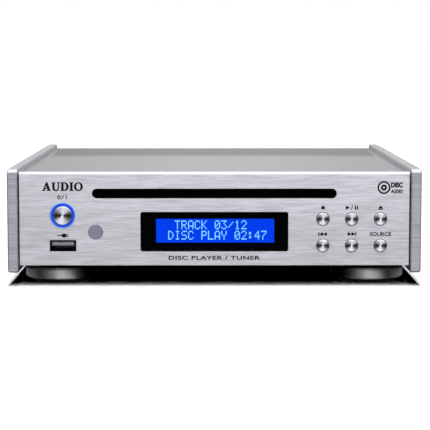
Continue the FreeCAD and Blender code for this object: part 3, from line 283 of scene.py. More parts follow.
def plated_metal(name, dark, light, low, high, grains=700):
    """Steel or brass, plated bright: a clear metal colour with faint dull wear in its plating."""
    material, tree = blank(name)
    wear = grain(tree, (grains, grains, grains), detail=3.0, roughness=0.6)
    shader = add(tree, "ShaderNodeBsdfPrincipled", {}, {
        "Base Color": (add(tree, "ShaderNodeMix", {"data_type": "RGBA"}, {
            0: add(tree, "ShaderNodeMapRange", SOFT, [wear, 0.3, 0.7, 0.0, 1.0]),
            6: linear(dark), 7: linear(light)}), 2),
        "Metallic": 1.0,
        "Roughness": add(tree, "ShaderNodeMapRange", SOFT, [wear, 0.3, 0.7, low, high]),
        "Normal": add(tree, "ShaderNodeBump", {}, {"Height": wear, "Distance": 0.004 * MM, "Strength": 0.2}),
    })
    add(tree, "ShaderNodeOutputMaterial", {}, {"Surface": shader})
    return material


# ---------------------------------------------------------------- plastics, rubber, felt, board

def moulding(name, dark, light, grains, depth, low, high, ior=1.5, sheen=0.0, gloss=0.5):
    """A moulded plastic: the mould's fine spark-eroded grain gives a soft broken gloss."""
    material, tree = blank(name)
    texture = grain(tree, (grains, grains, grains), detail=3.0, roughness=0.6)
    shader = add(tree, "ShaderNodeBsdfPrincipled", {}, {
        "Base Color": (add(tree, "ShaderNodeMix", {"data_type": "RGBA"}, {
            0: add(tree, "ShaderNodeMapRange", SOFT, [texture, 0.3, 0.7, 0.0, 1.0]),
            6: linear(dark), 7: linear(light)}), 2),
        "Roughness": add(tree, "ShaderNodeMapRange", SOFT, [texture, 0.3, 0.7, low, high]),
        "IOR": ior,
        "Specular IOR Level": gloss,
        "Sheen Weight": sheen,
        "Normal": add(tree, "ShaderNodeBump", {}, {
            "Height": texture, "Distance": depth * MM, "Strength": 0.5}),
    })
    add(tree, "ShaderNodeOutputMaterial", {}, {"Surface": shader})
    return material


def wool_felt(name):
    """Pressed wool felt: short fibres lying every way, no gloss, a faint grey fuzz."""
    material, tree = blank(name)
    fibres = grain(tree, (900, 2600, 2600), detail=4.0, roughness=0.7)
    shader = add(tree, "ShaderNodeBsdfPrincipled", {}, {
        "Base Color": (add(tree, "ShaderNodeMix", {"data_type": "RGBA"}, {
            0: add(tree, "ShaderNodeMapRange", SOFT, [fibres, 0.3, 0.7, 0.0, 1.0]),
            6: linear("030303"), 7: linear("0a0a0b")}), 2),
        "Roughness": 0.95,
        "Specular IOR Level": 0.05,
        "Sheen Weight": 0.02,
        "Normal": add(tree, "ShaderNodeBump", {}, {"Height": fibres, "Distance": 0.08 * MM, "Strength": 0.8}),
    })
    add(tree, "ShaderNodeOutputMaterial", {}, {"Surface": shader})
    return material


def clear_acrylic(name):
    """Cast acrylic, flame polished: clear, with a faint smoky tint and a skin that is flat to a hair."""
    material, tree = blank(name)
    flow = grain(tree, (60, 60, 60), detail=1.0)
    shader = add(tree, "ShaderNodeBsdfPrincipled", {}, {
        "Base Color": (add(tree, "ShaderNodeMix", {"data_type": "RGBA"}, {
            0: add(tree, "ShaderNodeMapRange", SOFT, [flow, 0.2, 0.8, 0.0, 1.0]),
            6: linear("e6e9ee"), 7: linear("f4f6fa")}), 2),
        "Roughness": 0.0,
        "IOR": 1.49,
        "Transmission Weight": 1.0,
        "Normal": add(tree, "ShaderNodeBump", {}, {"Height": flow, "Distance": 0.002 * MM, "Strength": 0.1}),
    })
    add(tree, "ShaderNodeOutputMaterial", {}, {"Surface": shader})
    return material


def light_guide(name, centre):
    """A moulded ring lit from behind. Its glow has painted light in it: dark navy at its inner edge as shade,
    nearly white at the outer one as a highlight and halo."""
    material, tree = blank(name)
    place = add(tree, "ShaderNodeTexCoord")
    out = add(tree, "ShaderNodeMapping", {}, {
        "Vector": (place, "Object"), "Location": tuple(-v * MM for v in centre)})
    out = add(tree, "ShaderNodeVectorMath", {"operation": "MULTIPLY"}, {0: out, 1: (1.0, 0.0, 1.0)})
    radius = (add(tree, "ShaderNodeVectorMath", {"operation": "LENGTH"}, {0: out}), "Value")
    # painted shade and highlight in the glow: dark navy at the inner edge, nearly white at the outer one
    lit = add(tree, "ShaderNodeValToRGB", {}, {
        0: add(tree, "ShaderNodeMapRange", {}, [radius, *LIT_RING, 0.0, 1.0])})
    ramp = lit.color_ramp
    ramp.elements[0].color = linear("0d2c96")
    ramp.elements[1].color = linear("f0f6ff")
    for at, shade in ((0.3, "184fd8"), (0.78, "2462ea"), (0.92, "8ab8ff")):
        ramp.elements.new(at).color = linear(shade)
    shader = add(tree, "ShaderNodeBsdfPrincipled", {}, {
        "Base Color": (add(tree, "ShaderNodeMix", {"data_type": "RGBA"}, {
            0: grain(tree, (500, 500, 500)), 6: linear("0a1440"), 7: linear("101c54")}), 2),
        "Roughness": 0.3,
        "Specular IOR Level": 0.3,
        "Emission Color": lit,
        "Emission Strength": 0.95,
    })
    add(tree, "ShaderNodeOutputMaterial", {}, {"Surface": shader})
    return material


def lit_panel(name, shade, edge, strength, grains=(400, 400, 400)):
    """A lamp behind a diffuser: an even glow, broken very slightly by the diffuser's grain, under smooth
    glass."""
    material, tree = blank(name)
    cloud = grain(tree, grains, detail=2.0)
    glow = (add(tree, "ShaderNodeMix", {"data_type": "RGBA"}, {
        0: add(tree, "ShaderNodeMapRange", SOFT, [cloud, 0.25, 0.75, 0.0, 1.0]),
        6: linear(edge), 7: linear(shade)}), 2)
    shader = add(tree, "ShaderNodeBsdfPrincipled", {}, {
        "Base Color": (add(tree, "ShaderNodeMix", {"data_type": "RGBA"}, {
            0: add(tree, "ShaderNodeMapRange", SOFT, [cloud, 0.25, 0.75, 0.0, 1.0]),
            6: linear("000612"), 7: linear("00081a")}), 2),
        "Roughness": 0.2,
        "Specular IOR Level": 0.05,
        "Emission Color": glow,
        "Emission Strength": strength,
    })
    add(tree, "ShaderNodeOutputMaterial", {}, {"Surface": shader})
    return material


def infrared_filter(name):
    """Smoked polycarbonate that only infrared passes: a grey purple disc with a fine speckle in it."""
    material, tree = blank(name)
    speckle = grain(tree, (1700, 1700, 1700), detail=3.0, roughness=0.7)
    shader = add(tree, "ShaderNodeBsdfPrincipled", {}, {
        "Base Color": (add(tree, "ShaderNodeMix", {"data_type": "RGBA"}, {
            0: add(tree, "ShaderNodeMapRange", SOFT, [speckle, 0.3, 0.7, 0.0, 1.0]),
            6: linear("706f82"), 7: linear("9795ab")}), 2),
        "Roughness": add(tree, "ShaderNodeMapRange", SOFT, [speckle, 0.3, 0.7, 0.3, 0.5]),
        "IOR": 1.58,
        "Coat Weight": 0.3,
        "Coat Roughness": 0.1,
        "Normal": add(tree, "ShaderNodeBump", {}, {
            "Height": speckle, "Distance": 0.02 * MM, "Strength": 0.4}),
    })
    add(tree, "ShaderNodeOutputMaterial", {}, {"Surface": shader})
    return material


def circuit_board(name):
    """Glass laminate under green solder resist: darker where the copper is etched away, in right-angled
    tracks."""
    material, tree = blank(name)
    place = add(tree, "ShaderNodeTexCoord")
    tracks = add(tree, "ShaderNodeTexVoronoi", {"distance": "CHEBYCHEV", "feature": "F2"},
                 {"Vector": (place, "Object"), "Scale": 240.0, "Randomness": 0.55})
    copper = add(tree, "ShaderNodeMapRange", SOFT, [(tracks, "Distance"), 0.42, 0.5, 0.0, 1.0])
    shader = add(tree, "ShaderNodeBsdfPrincipled", {}, {
        "Base Color": (add(tree, "ShaderNodeMix", {"data_type": "RGBA"}, {
            0: copper, 6: linear("0c3a22"), 7: linear("1d6a3c")}), 2),
        "Roughness": add(tree, "ShaderNodeMapRange", SOFT, [copper, 0.0, 1.0, 0.42, 0.28]),
        "IOR": 1.54,
        "Coat Weight": 0.5,
        "Coat Roughness": 0.15,
        "Normal": add(tree, "ShaderNodeBump", {}, {
            "Height": copper, "Distance": 0.035 * MM, "Strength": 0.6}),
    })
    add(tree, "ShaderNodeOutputMaterial", {}, {"Surface": shader})
    return material


def wound_tape(name, centre):
    """Yellow polyester tape wound round a ring: each turn overlaps the last, so its edges fan out from the
    middle."""
    material, tree = blank(name)
    place = add(tree, "ShaderNodeTexCoord")
    out = add(tree, "ShaderNodeMapping", {}, {
        "Vector": (place, "Object"), "Location": tuple(-v * MM for v in centre)})
    fans = add(tree, "ShaderNodeTexGradient", {"gradient_type": "RADIAL"}, {"Vector": out})
    turn = add(tree, "ShaderNodeMath", {"operation": "FRACT"}, [
        add(tree, "ShaderNodeMath", {"operation": "MULTIPLY"}, [fans, 46.0])])
    shader = add(tree, "ShaderNodeBsdfPrincipled", {}, {
        "Base Color": (add(tree, "ShaderNodeMix", {"data_type": "RGBA"}, {
            0: turn, 6: linear("8f6a10"), 7: linear("d8ab32")}), 2),
        "Roughness": add(tree, "ShaderNodeMapRange", SOFT, [turn, 0.0, 1.0, 0.28, 0.4]),
        "IOR": 1.6,
        "Coat Weight": 0.6,
        "Coat Roughness": 0.12,
        "Normal": add(tree, "ShaderNodeBump", {}, {"Height": turn, "Distance": 0.08 * MM, "Strength": 0.8}),
    })
    add(tree, "ShaderNodeOutputMaterial", {}, {"Surface": shader})
    return material


# ---------------------------------------------------------------- the finishes, and where each one goes

ROUND_KEYS = {
    "stop_button": (LEFT_KEY, UPPER_ROW), "play_pause_button": (MIDDLE_KEY, UPPER_ROW),
    "eject_button": (RIGHT_KEY, UPPER_ROW), "previous_button": (LEFT_KEY, LOWER_ROW),
    "next_button": (MIDDLE_KEY, LOWER_ROW), "source_button": (RIGHT_KEY, LOWER_ROW),
    "power_button": (POWER_X, POWER_Z),
}

panel_metal = brushed_panel("belt_brushed_panel", "b2b2b8", "cfcfd8")
plate_metal = brushed_plate("belt_brushed_plate", "dadadf", "ececf0")
foot_metal = spun_aluminium("turned_foot_ring", FOOT_FROM_MIDDLE, "Z", "dadadc", "f2f2f4", 0.55, feet=True)
cover_lacquer = silver_lacquer("silver_lacquer_cover", "a4a4a9", "b6b6bb")
rear_lacquer = silver_lacquer("silver_lacquer_rear", "a9a9ad", "bdbdc1")
zinc = zinc_sheet("zinc_plated_sheet", "8f9296", "b4b7ba")
screw_steel = plated_metal("zinc_plated_screw", "94969a", "c2c4c8", 0.22, 0.36)
stainless = plated_metal("stainless_shell", "9c9ea2", "cfd1d4", 0.2, 0.34, 1100)
nickel = plated_metal("nickel_plated_brass", "a7a298", "d2cdc3", 0.12, 0.24)
motor_steel = plated_metal("drawn_motor_can", "85888d", "b5b8bc", 0.3, 0.42, 300)
brass = plated_metal("hobbed_brass", "9c7430", "d3ab5a", 0.25, 0.38)
black_moulding = moulding("black_abs_moulding", "0a0a0b", "151517", 1800, 0.02, 0.4, 0.58)
# printed on the back of the window, so there is no air before it and hardly any gloss
black_mask = moulding("black_screen_print", "010102", "040405", 900, 0.005, 0.5, 0.65, gloss=0.02)
rubber = moulding("black_rubber", "0b0b0c", "191919", 900, 0.05, 0.72, 0.9, 1.52, 0.15)
grey_moulding = moulding("grey_glass_filled_moulding", "34373a", "474b4f", 1200, 0.03, 0.4, 0.55)
white_moulding = moulding("white_abs_moulding", "cfcec6", "e6e5de", 900, 0.008, 0.25, 0.36)
red_moulding = moulding("red_abs_moulding", "8e1114", "b01b1e", 900, 0.008, 0.25, 0.36)
orange_moulding = moulding("orange_abs_moulding", "c65a12", "e27220", 900, 0.008, 0.25, 0.36)
acetal = moulding("white_acetal_gear", "d6d5cc", "ebeae3", 700, 0.01, 0.3, 0.42, 1.48)
felt = wool_felt("pressed_wool_felt")
acrylic = clear_acrylic("polished_clear_acrylic")
lens_glass = clear_acrylic("moulded_lens")
backlight = lit_panel("blue_backlit_glass", "0046ff", "0044fa", 1.05)
ring_light = light_guide("blue_light_guide", (POWER_X, 0.0, POWER_Z))
tongue_moulding = moulding("grey_contact_moulding", "7c7c80", "a2a2a6", 900, 0.008, 0.4, 0.5)
dark_shell = plated_metal("blackened_shell", "121214", "222226", 0.35, 0.5, 1100)
sensor_filter = infrared_filter("smoked_infrared_filter")
board = circuit_board("green_circuit_board")
tape = wound_tape("yellow_winding_tape", (-40.0, 72.0, 27.0))

FINISH = {
    "front_panel": panel_metal, "left_side_plate": plate_metal, "right_side_plate": plate_metal,
    "foot_rings": foot_metal, "top_cover": cover_lacquer, "rear_panel": rear_lacquer,
    "chassis_base": zinc, "mech_frame": zinc, "traverse_deck": zinc, "clamp_arm": zinc,
    "transformer_clamp": zinc, "roller_carriage": zinc,
    "side_plate_screws": screw_steel, "case_screws": screw_steel, "usb_shell": dark_shell,
    "guide_rods": stainless, "spindle_motor": motor_steel, "sled_motor": motor_steel,
    "load_motor": motor_steel, "foot_pads": rubber, "load_roller": rubber, "mech_dampers": rubber,
    "display_window": acrylic, "objective_lens": lens_glass, "display_mask": black_mask,
    "lcd_holder": black_moulding, "tact_switches": black_moulding, "jack_block": black_moulding,
    "optical_socket": black_moulding, "optical_shutter": black_moulding, "power_inlet": black_moulding,
    "board_parts": black_moulding, "turntable": black_moulding, "clamper": black_moulding,
    "pickup_sled": grey_moulding, "lcd_panel": backlight, "power_light_ring": ring_light,
    "remote_sensor_lens": sensor_filter, "usb_tongue": tongue_moulding,
    "left_phono_insert": white_moulding, "right_phono_insert": red_moulding,
    "coax_phono_insert": orange_moulding, "slot_felts": felt,
    "front_board": board, "circuit_boards": board, "phono_barrels": nickel, "aerial_socket": nickel,
    "inlet_pins": nickel, "transformer": tape, "sled_pinion": brass, "load_pinion": brass,
    "sled_gear": acetal, "load_idler": acetal,
}
for key, (x, z) in ROUND_KEYS.items():
    FINISH[key] = spun_aluminium("spun_" + key, (x, 0.0, z), "Y", "c8c8d0", "ececf2", 0.36)

for name, finish in FINISH.items():
    for place in nodes[name].material_slots:
        place.material = finish


# ---------------------------------------------------------------- making pieces

def plain_mesh(source, name, matrix, material, body):
    """The evaluated shape of an object as a plain mesh piece, placed in its mesh. The source is removed."""
    mesh = bpy.data.meshes.new_from_object(source.evaluated_get(bpy.context.evaluated_depsgraph_get()))
    mesh.name = name
    mesh.transform(matrix)
    if matrix.determinant() < 0:
        mesh.flip_normals()
    mesh.materials.clear()
    mesh.materials.append(material)
    piece = bpy.data.objects.new(name, mesh)
    bpy.context.scene.collection.objects.link(piece)
    bpy.data.objects.remove(source)
    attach(piece, body)
    return piece


def onto_front(x, z):
    """Turns a drawing in millimetres into one on the front panel, seen from the front."""
    return Matrix(((MM, 0, 0, x * MM), (0, 0, -MM, (FACE_Y - INK) * MM), (0, MM, 0, z * MM), (0, 0, 0, 1)))


def onto_rear(x, z):
    """The same on the rear panel, seen from the back."""
    return Matrix(((-MM, 0, 0, x * MM), (0, 0, MM, (REAR_Y + INK) * MM), (0, MM, 0, z * MM), (0, 0, 0, 1)))


def outline_object(loops):
    """A flat curve filled between its loops, each a list of (x, y) in millimetres, a little wider for the
    spread of the ink."""
    curve = bpy.data.curves.new("outline", "CURVE")
    curve.dimensions = "2D"
    curve.fill_mode = "BOTH"
    curve.extrude = INK / 2
    curve.offset = INK_SPREAD
    for loop in loops:
        spline = curve.splines.new("POLY")
        spline.points.add(len(loop) - 1)
        for point, (x, y) in zip(spline.points, loop):
            point.co = (x, y, 0, 1)
        spline.use_cyclic_u = True
    made = bpy.data.objects.new("outline", curve)
    bpy.context.scene.collection.objects.link(made)
    return made


def words_object(words, bold=0.0, spacing=1.0):
    """Words as a filled curve about the middle of their own width."""
    curve = bpy.data.curves.new("words", "FONT")
    curve.body = words
    curve.align_x = "CENTER"
    curve.resolution_u = 4
    curve.extrude = INK / 2
    curve.offset = bold
    curve.space_character = spacing
    made = bpy.data.objects.new("words", curve)
    bpy.context.scene.collection.objects.link(made)
    return made


def fitted(source, width, height):
    """A scale and a shift that bring a drawing's own box to this width and height about its middle."""
    bpy.context.view_layer.update()
    mesh = bpy.data.meshes.new_from_object(source.evaluated_get(bpy.context.evaluated_depsgraph_get()))
    xs = [v.co.x for v in mesh.vertices]
    ys = [v.co.y for v in mesh.vertices]
    bpy.data.meshes.remove(mesh)
    sx = width / (max(xs) - min(xs))
    sy = height / (max(ys) - min(ys)) if height else sx
    return Matrix.Diagonal((sx, sy, 1, 1)) @ Matrix.Translation(
        (-(max(xs) + min(xs)) / 2, -(max(ys) + min(ys)) / 2, 0))


def oval(x, y, rx, ry, count=40):
    return [(x + rx * math.cos(2 * math.pi * i / count), y + ry * math.sin(2 * math.pi * i / count))
            for i in range(count)]


def bar(x0, x1, y0, y1):
    return [(x0, y0), (x1, y0), (x1, y1), (x0, y1)]


def printing_ink(name):
    """Screen-printed epoxy ink: matt black, a little thinner in places where the brushing shows through."""
    material, tree = blank(name)
    cover = grain(tree, (500, 2000, 2000), detail=2.0)
    shader = add(tree, "ShaderNodeBsdfPrincipled", {}, {
        "Base Color": (add(tree, "ShaderNodeMix", {"data_type": "RGBA"}, {
            0: add(tree, "ShaderNodeMapRange", SOFT, [cover, 0.3, 0.7, 0.0, 1.0]),
            6: linear("030304"), 7: linear("0f0f12")}), 2),
        "Roughness": 0.7,
        "Specular IOR Level": 0.15,
        "Normal": add(tree, "ShaderNodeBump", {}, {"Height": cover, "Distance": 0.004 * MM, "Strength": 0.3}),
    })
    add(tree, "ShaderNodeOutputMaterial", {}, {"Surface": shader})
    return material


ink = printing_ink("black_printing_ink")


# ---------------------------------------------------------------- printed signs on the front

def printed_words(name, words, x, z, width, height, bold=0.0, spacing=1.0, place=onto_front):
    source = words_object(words, bold, spacing)
    return plain_mesh(source, name, place(x, z) @ fitted(source, width, height), ink, "case")


def printed_shapes(name, x, z, loops):
    return plain_mesh(outline_object(loops), name, onto_front(x, z), ink, "case")


def bulge(x, y, wide, high, start, end, count=12):
    """Points on an oval from one angle to another, in degrees from straight up."""
    angles = [math.radians(start + (end - start) * i / count) for i in range(count + 1)]
    return [(x + wide * math.sin(a), y + high * math.cos(a)) for a in angles]


# Bold serif capitals one unit high: each one's width, and its outline and holes.
SERIF = {
    "A": (1.12, [[(0, 0), (0.4, 0), (0.4, 0.07), (0.3, 0.1), (0.355, 0.25), (0.66, 0.25), (0.715, 0.1),
                  (0.62, 0.07), (0.62, 0), (1.12, 0), (1.12, 0.07), (1.02, 0.1), (0.68, 1.0), (0.5, 1.0),
                  (0.13, 0.12), (0, 0.07)],
                 [(0.395, 0.35), (0.5, 0.66), (0.62, 0.35)]]),
    "U": (1.06, [[(0, 1), (0, 0.93), (0.1, 0.9), (0.1, 0.33), (0.16, 0.13), (0.31, 0.01), (0.53, -0.02),
                  (0.75, 0.02), (0.9, 0.15), (0.95, 0.35), (0.95, 0.9), (1.06, 0.93), (1.06, 1), (0.72, 1),
                  (0.72, 0.93), (0.82, 0.9), (0.82, 0.37), (0.78, 0.22), (0.7, 0.13), (0.58, 0.1),
                  (0.46, 0.14), (0.39, 0.23), (0.37, 0.36), (0.37, 0.9), (0.48, 0.93), (0.48, 1)]]),
    "D": (1.04, [[(0, 0)] + bulge(0.52, 0.5, 0.52, 0.5, 180, 0)
                 + [(0, 1), (0, 0.93), (0.1, 0.9), (0.1, 0.1), (0, 0.07)],
                 [(0.37, 0.09), (0.37, 0.91)] + bulge(0.47, 0.5, 0.28, 0.41, 0, 180)]),
    "I": (0.5, [[(0, 0), (0.5, 0), (0.5, 0.07), (0.385, 0.1), (0.385, 0.9), (0.5, 0.93), (0.5, 1), (0, 1),
                 (0, 0.93), (0.115, 0.9), (0.115, 0.1), (0, 0.07)]]),
    "O": (1.12, [oval(0.56, 0.5, 0.56, 0.52, 32), oval(0.56, 0.5, 0.29, 0.42, 32)]),
}


def serif_word(word, width, height, gap):
    """The loops of a word in these capitals, fitted to a width and height about its middle."""
    loops, at = [], 0.0
    for letter in word:
        advance, shapes = SERIF[letter]
        loops += [[(at + px, py) for px, py in shape] for shape in shapes]
        at += advance + gap
    total = at - gap
    return [[((px / total - 0.5) * width, (py - 0.5) * height) for px, py in loop] for loop in loops]


printed_shapes("audio_word", POWER_X, 51.9, serif_word("AUDIO", 21.0, 4.3, 0.1))

# standby: a ring, a slash and a bar
printed_shapes("standby_sign", POWER_X, 46.4, [
    oval(-1.85, 0, 0.8, 0.95), oval(-1.85, 0, 0.5, 0.65),
    [(-0.55, -1.0), (-0.25, -1.0), (0.75, 1.0), (0.45, 1.0)],
    bar(1.75, 2.05, -0.95, 0.95)])

# memory port: a plain plug on its lead
printed_shapes("memory_port_sign", POWER_X, 26.4, [[
    (-2.75, -0.16), (-0.4, -0.16), (-0.4, -0.85), (1.5, -0.85), (1.5, -0.6), (2.75, -0.6), (2.75, -0.25),
    (1.5, -0.25), (1.5, 0.25), (2.75, 0.25), (2.75, 0.6), (1.5, 0.6), (1.5, 0.85), (-0.4, 0.85),
    (-0.4, 0.16), (-2.75, 0.16)]])

# over each key, what it does
printed_shapes("stop_sign", LEFT_KEY, UPPER_SIGNS, [bar(-0.8, 0.8, -0.8, 0.8)])
printed_shapes("play_pause_sign", MIDDLE_KEY, UPPER_SIGNS, [
    [(-3.1, -0.95), (-1.2, 0), (-3.1, 0.95)], [(-0.45, -1.0), (-0.2, -1.0), (0.55, 1.0), (0.3, 1.0)],
    bar(1.55, 2.05, -0.9, 0.9), bar(2.6, 3.1, -0.9, 0.9)])
printed_shapes("eject_sign", RIGHT_KEY, UPPER_SIGNS, [
    [(-1.1, -0.25), (1.1, -0.25), (0, 0.95)], bar(-1.1, 1.1, -0.95, -0.55)])
printed_shapes("previous_sign", LEFT_KEY, LOWER_SIGNS, [
    bar(-2.35, -1.95, -0.9, 0.9), [(-1.9, 0), (0.0, -0.9), (0.0, 0.9)],
    [(0.1, 0), (2.0, -0.9), (2.0, 0.9)]])
printed_shapes("next_sign", MIDDLE_KEY, LOWER_SIGNS, [
    [(-2.0, -0.9), (-0.1, 0), (-2.0, 0.9)], [(0.0, -0.9), (1.9, 0), (0.0, 0.9)],
    bar(1.95, 2.35, -0.9, 0.9)])
printed_words("source_word", "SOURCE", RIGHT_KEY, LOWER_SIGNS, 11.3, 2.05, bold=0.03)

printed_words("kind_words", "DISC PLAYER / TUNER", 0.0, 14.7, 47.6, 2.1, bold=0.03, spacing=1.1)

# the disc sign: a plain disc beside two short words
printed_shapes("disc_sign", 87.9, 51.35, [
    oval(0, 0, 3.3, 3.3), oval(0, 0, 2.6, 2.6), oval(0, 0, 1.5, 1.5), oval(0, 0, 0.6, 0.6)])
printed_words("disc_word", "DISC", 94.6, 52.7, 6.2, 2.8, bold=0.06)
printed_words("audio_small_word", "AUDIO", 94.6, 49.4, 6.2, 2.0, bold=0.05)

# words at the sockets
REAR_CAPITALS = 1.7
for label, words, x, z, width in [
        ("left_word", "L", 2.0, SOCKET_WORDS, 1.1), ("right_word", "R", 20.0, SOCKET_WORDS, 1.3),
        ("analog_words", "ANALOG OUT", 11.0, GROUP_WORDS, 16.0),
        ("coaxial_word", "COAXIAL", 42.0, SOCKET_WORDS, 9.4),
        ("optical_word", "OPTICAL", 60.0, SOCKET_WORDS, 9.4),
        ("digital_words", "DIGITAL OUT", 51.0, GROUP_WORDS, 15.5),
        ("aerial_words", "AERIAL IN", 82.0, GROUP_WORDS, 12.5),
        ("mains_words", "MAINS IN", -80.0, GROUP_WORDS, 12.0)]:
    printed_words(label, words, x, z, width, REAR_CAPITALS, place=onto_rear)


# ---------------------------------------------------------------- repeated shapes, made with geometry nodes

def shape_tree(name, sizes):
    """A geometry node tree with its points, its named sizes and its finish as inputs."""
    tree = bpy.data.node_groups.new(name, "GeometryNodeTree")
    face = tree.interface
    face.new_socket("Geometry", in_out="INPUT", socket_type="NodeSocketGeometry")
    for size in sizes:
        face.new_socket(size, in_out="INPUT", socket_type="NodeSocketFloat")
    face.new_socket("Finish", in_out="INPUT", socket_type="NodeSocketMaterial")
    face.new_socket("Geometry", in_out="OUTPUT", socket_type="NodeSocketGeometry")
    return tree, add(tree, "NodeGroupInput")


def tree_end(tree, given, shape):
    """Makes the copies real, gives them the finish and ends the tree."""
    real = add(tree, "GeometryNodeRealizeInstances", {}, {"Geometry": shape})
    dressed = add(tree, "GeometryNodeSetMaterial", {}, {"Geometry": real, "Material": (given, "Finish")})
    add(tree, "NodeGroupOutput", {}, {"Geometry": dressed})


def repeated(name, tree, points, values, material, body):
    """Runs a tree on points given in millimetres and keeps the result as a plain mesh on one body."""
    mesh = bpy.data.meshes.new(name)
    mesh.from_pydata([tuple(c * MM for c in p) for p in points], [], [])
    source = bpy.data.objects.new("points", mesh)
    bpy.context.scene.collection.objects.link(source)
    modifier = source.modifiers.new("shape", "NODES")
    modifier.node_group = tree
    for item in tree.interface.items_tree:
        if item.in_out == "INPUT" and item.name in values:
            modifier[item.identifier] = values[item.name]
        elif item.in_out == "INPUT" and item.name == "Finish":
            modifier[item.identifier] = material
    source.update_tag()
    bpy.context.view_layer.update()
    return plain_mesh(source, name, Matrix.Identity(4), material, body)


# small square-cornered blocks, one on each point
blocks, given = shape_tree("blocks_on_points", ["Width", "Depth", "Height"])
cube = add(blocks, "GeometryNodeMeshCube", {}, {"Size": add(blocks, "ShaderNodeCombineXYZ", {}, {
    0: (given, "Width"), 1: (given, "Depth"), 2: (given, "Height")})})
tree_end(blocks, given, add(blocks, "GeometryNodeInstanceOnPoints", {}, {
    "Points": (given, "Geometry"), "Instance": cube}))

# a screw thread along Y: a helix with a round section
thread, given = shape_tree("thread_along_y", ["Turns", "Radius", "Length", "Wire"])
helix = add(thread, "GeometryNodeCurveSpiral", {}, {
    "Resolution": 40, "Rotations": (given, "Turns"), "Start Radius": (given, "Radius"),
    "End Radius": (given, "Radius"), "Height": (given, "Length")})
wire = add(thread, "GeometryNodeCurvePrimitiveCircle", {}, {"Resolution": 6, "Radius": (given, "Wire")})
tube = add(thread, "GeometryNodeCurveToMesh", {}, {"Curve": helix, "Profile Curve": wire, "Fill Caps": True})
laid = add(thread, "GeometryNodeTransform", {}, {"Geometry": tube, "Rotation": (-math.pi / 2, 0, 0)})
tree_end(thread, given, add(thread, "GeometryNodeInstanceOnPoints", {}, {
    "Points": (given, "Geometry"), "Instance": laid}))

# The characters of the display, five dots wide and seven high.
DOTS = {
    " ": ["00000"] * 7,
    "/": ["00000", "00001", "00010", "00100", "01000", "10000", "00000"],
    ":": ["00000", "01100", "01100", "00000", "01100", "01100", "00000"],
    "0": ["01110", "10001", "10011", "10101", "11001", "10001", "01110"],
    "1": ["00100", "01100", "00100", "00100", "00100", "00100", "01110"],
    "2": ["01110", "10001", "00001", "00010", "00100", "01000", "11111"],
    "3": ["11111", "00010", "00100", "00010", "00001", "10001", "01110"],
    "4": ["00010", "00110", "01010", "10010", "11111", "00010", "00010"],
    "7": ["11111", "00001", "00010", "00100", "01000", "01000", "01000"],
    "A": ["01110", "10001", "10001", "10001", "11111", "10001", "10001"],
    "C": ["01110", "10001", "10000", "10000", "10000", "10001", "01110"],
    "D": ["11100", "10010", "10001", "10001", "10001", "10010", "11100"],
    "I": ["01110", "00100", "00100", "00100", "00100", "00100", "01110"],
    "K": ["10001", "10010", "10100", "11000", "10100", "10010", "10001"],
    "L": ["10000", "10000", "10000", "10000", "10000", "10000", "11111"],
    "P": ["11110", "10001", "10001", "11110", "10000", "10000", "10000"],
    "R": ["11110", "10001", "10001", "11110", "10100", "10010", "10001"],
    "S": ["01111", "10000", "10000", "01110", "00001", "00001", "11110"],
    "T": ["11111", "00100", "00100", "00100", "00100", "00100", "00100"],
    "Y": ["10001", "10001", "10001", "01010", "00100", "00100", "00100"],
}
CELL = 3.47                    # from one character to the next
DOT_X, DOT_Z = 0.578, 0.67     # from one dot to the next
FIRST_DOT_X = -27.35
DOTS_Y = -108.56               # just in front of the liquid crystal panel
spots = []
for words, column, middle in [("TRACK 03/12", 2, 31.55), ("DISC PLAY 02:47", 1, 26.1)]:
    for place, letter in enumerate(words):
        for row, dots in enumerate(DOTS[letter]):
            for step, dot in enumerate(dots):
                if dot == "1":
                    spots.append((FIRST_DOT_X + CELL * (column + place) + DOT_X * step, DOTS_Y,
                                  middle + DOT_Z * (3 - row)))
lit_dots = lit_panel("lit_display_dots", "8adcff", "82d6ff", 1.35, (900, 900, 900))
repeated("display_characters", blocks, spots,
         {"Width": 0.53 * MM, "Depth": 0.04 * MM, "Height": 0.62 * MM}, lit_dots, "case")

# gold contacts in the memory port's tongue
gold = plated_metal("gold_plated_contacts", "b98a34", "e6c070", 0.16, 0.28)
repeated("memory_port_contacts", blocks, [(POWER_X + dx, -108.3, 21.08) for dx in (-3.5, -1.0, 1.0, 3.5)],
         {"Width": 0.9 * MM, "Depth": 8.0 * MM, "Height": 0.14 * MM}, gold, "case")

# the thread of the aerial socket
repeated("aerial_thread", thread, [(82.0, 108.4, 30.0)],
         {"Turns": 7.0, "Radius": 4.72 * MM, "Length": 5.4 * MM, "Wire": 0.26 * MM},
         nickel, "case")


# ---------------------------------------------------------------- studio

def flat_sheet(name, x, y, z):
    """A flat rectangle in metres, part of the studio."""
    mesh = bpy.data.meshes.new(name)
    corners = [(x[0], y[0], z), (x[1], y[0], z), (x[1], y[1], z), (x[0], y[1], z)]
    mesh.from_pydata(corners, [], [(0, 1, 2, 3)])
    sheet = bpy.data.objects.new(name, mesh)
    bpy.context.scene.collection.objects.link(sheet)
    return sheet


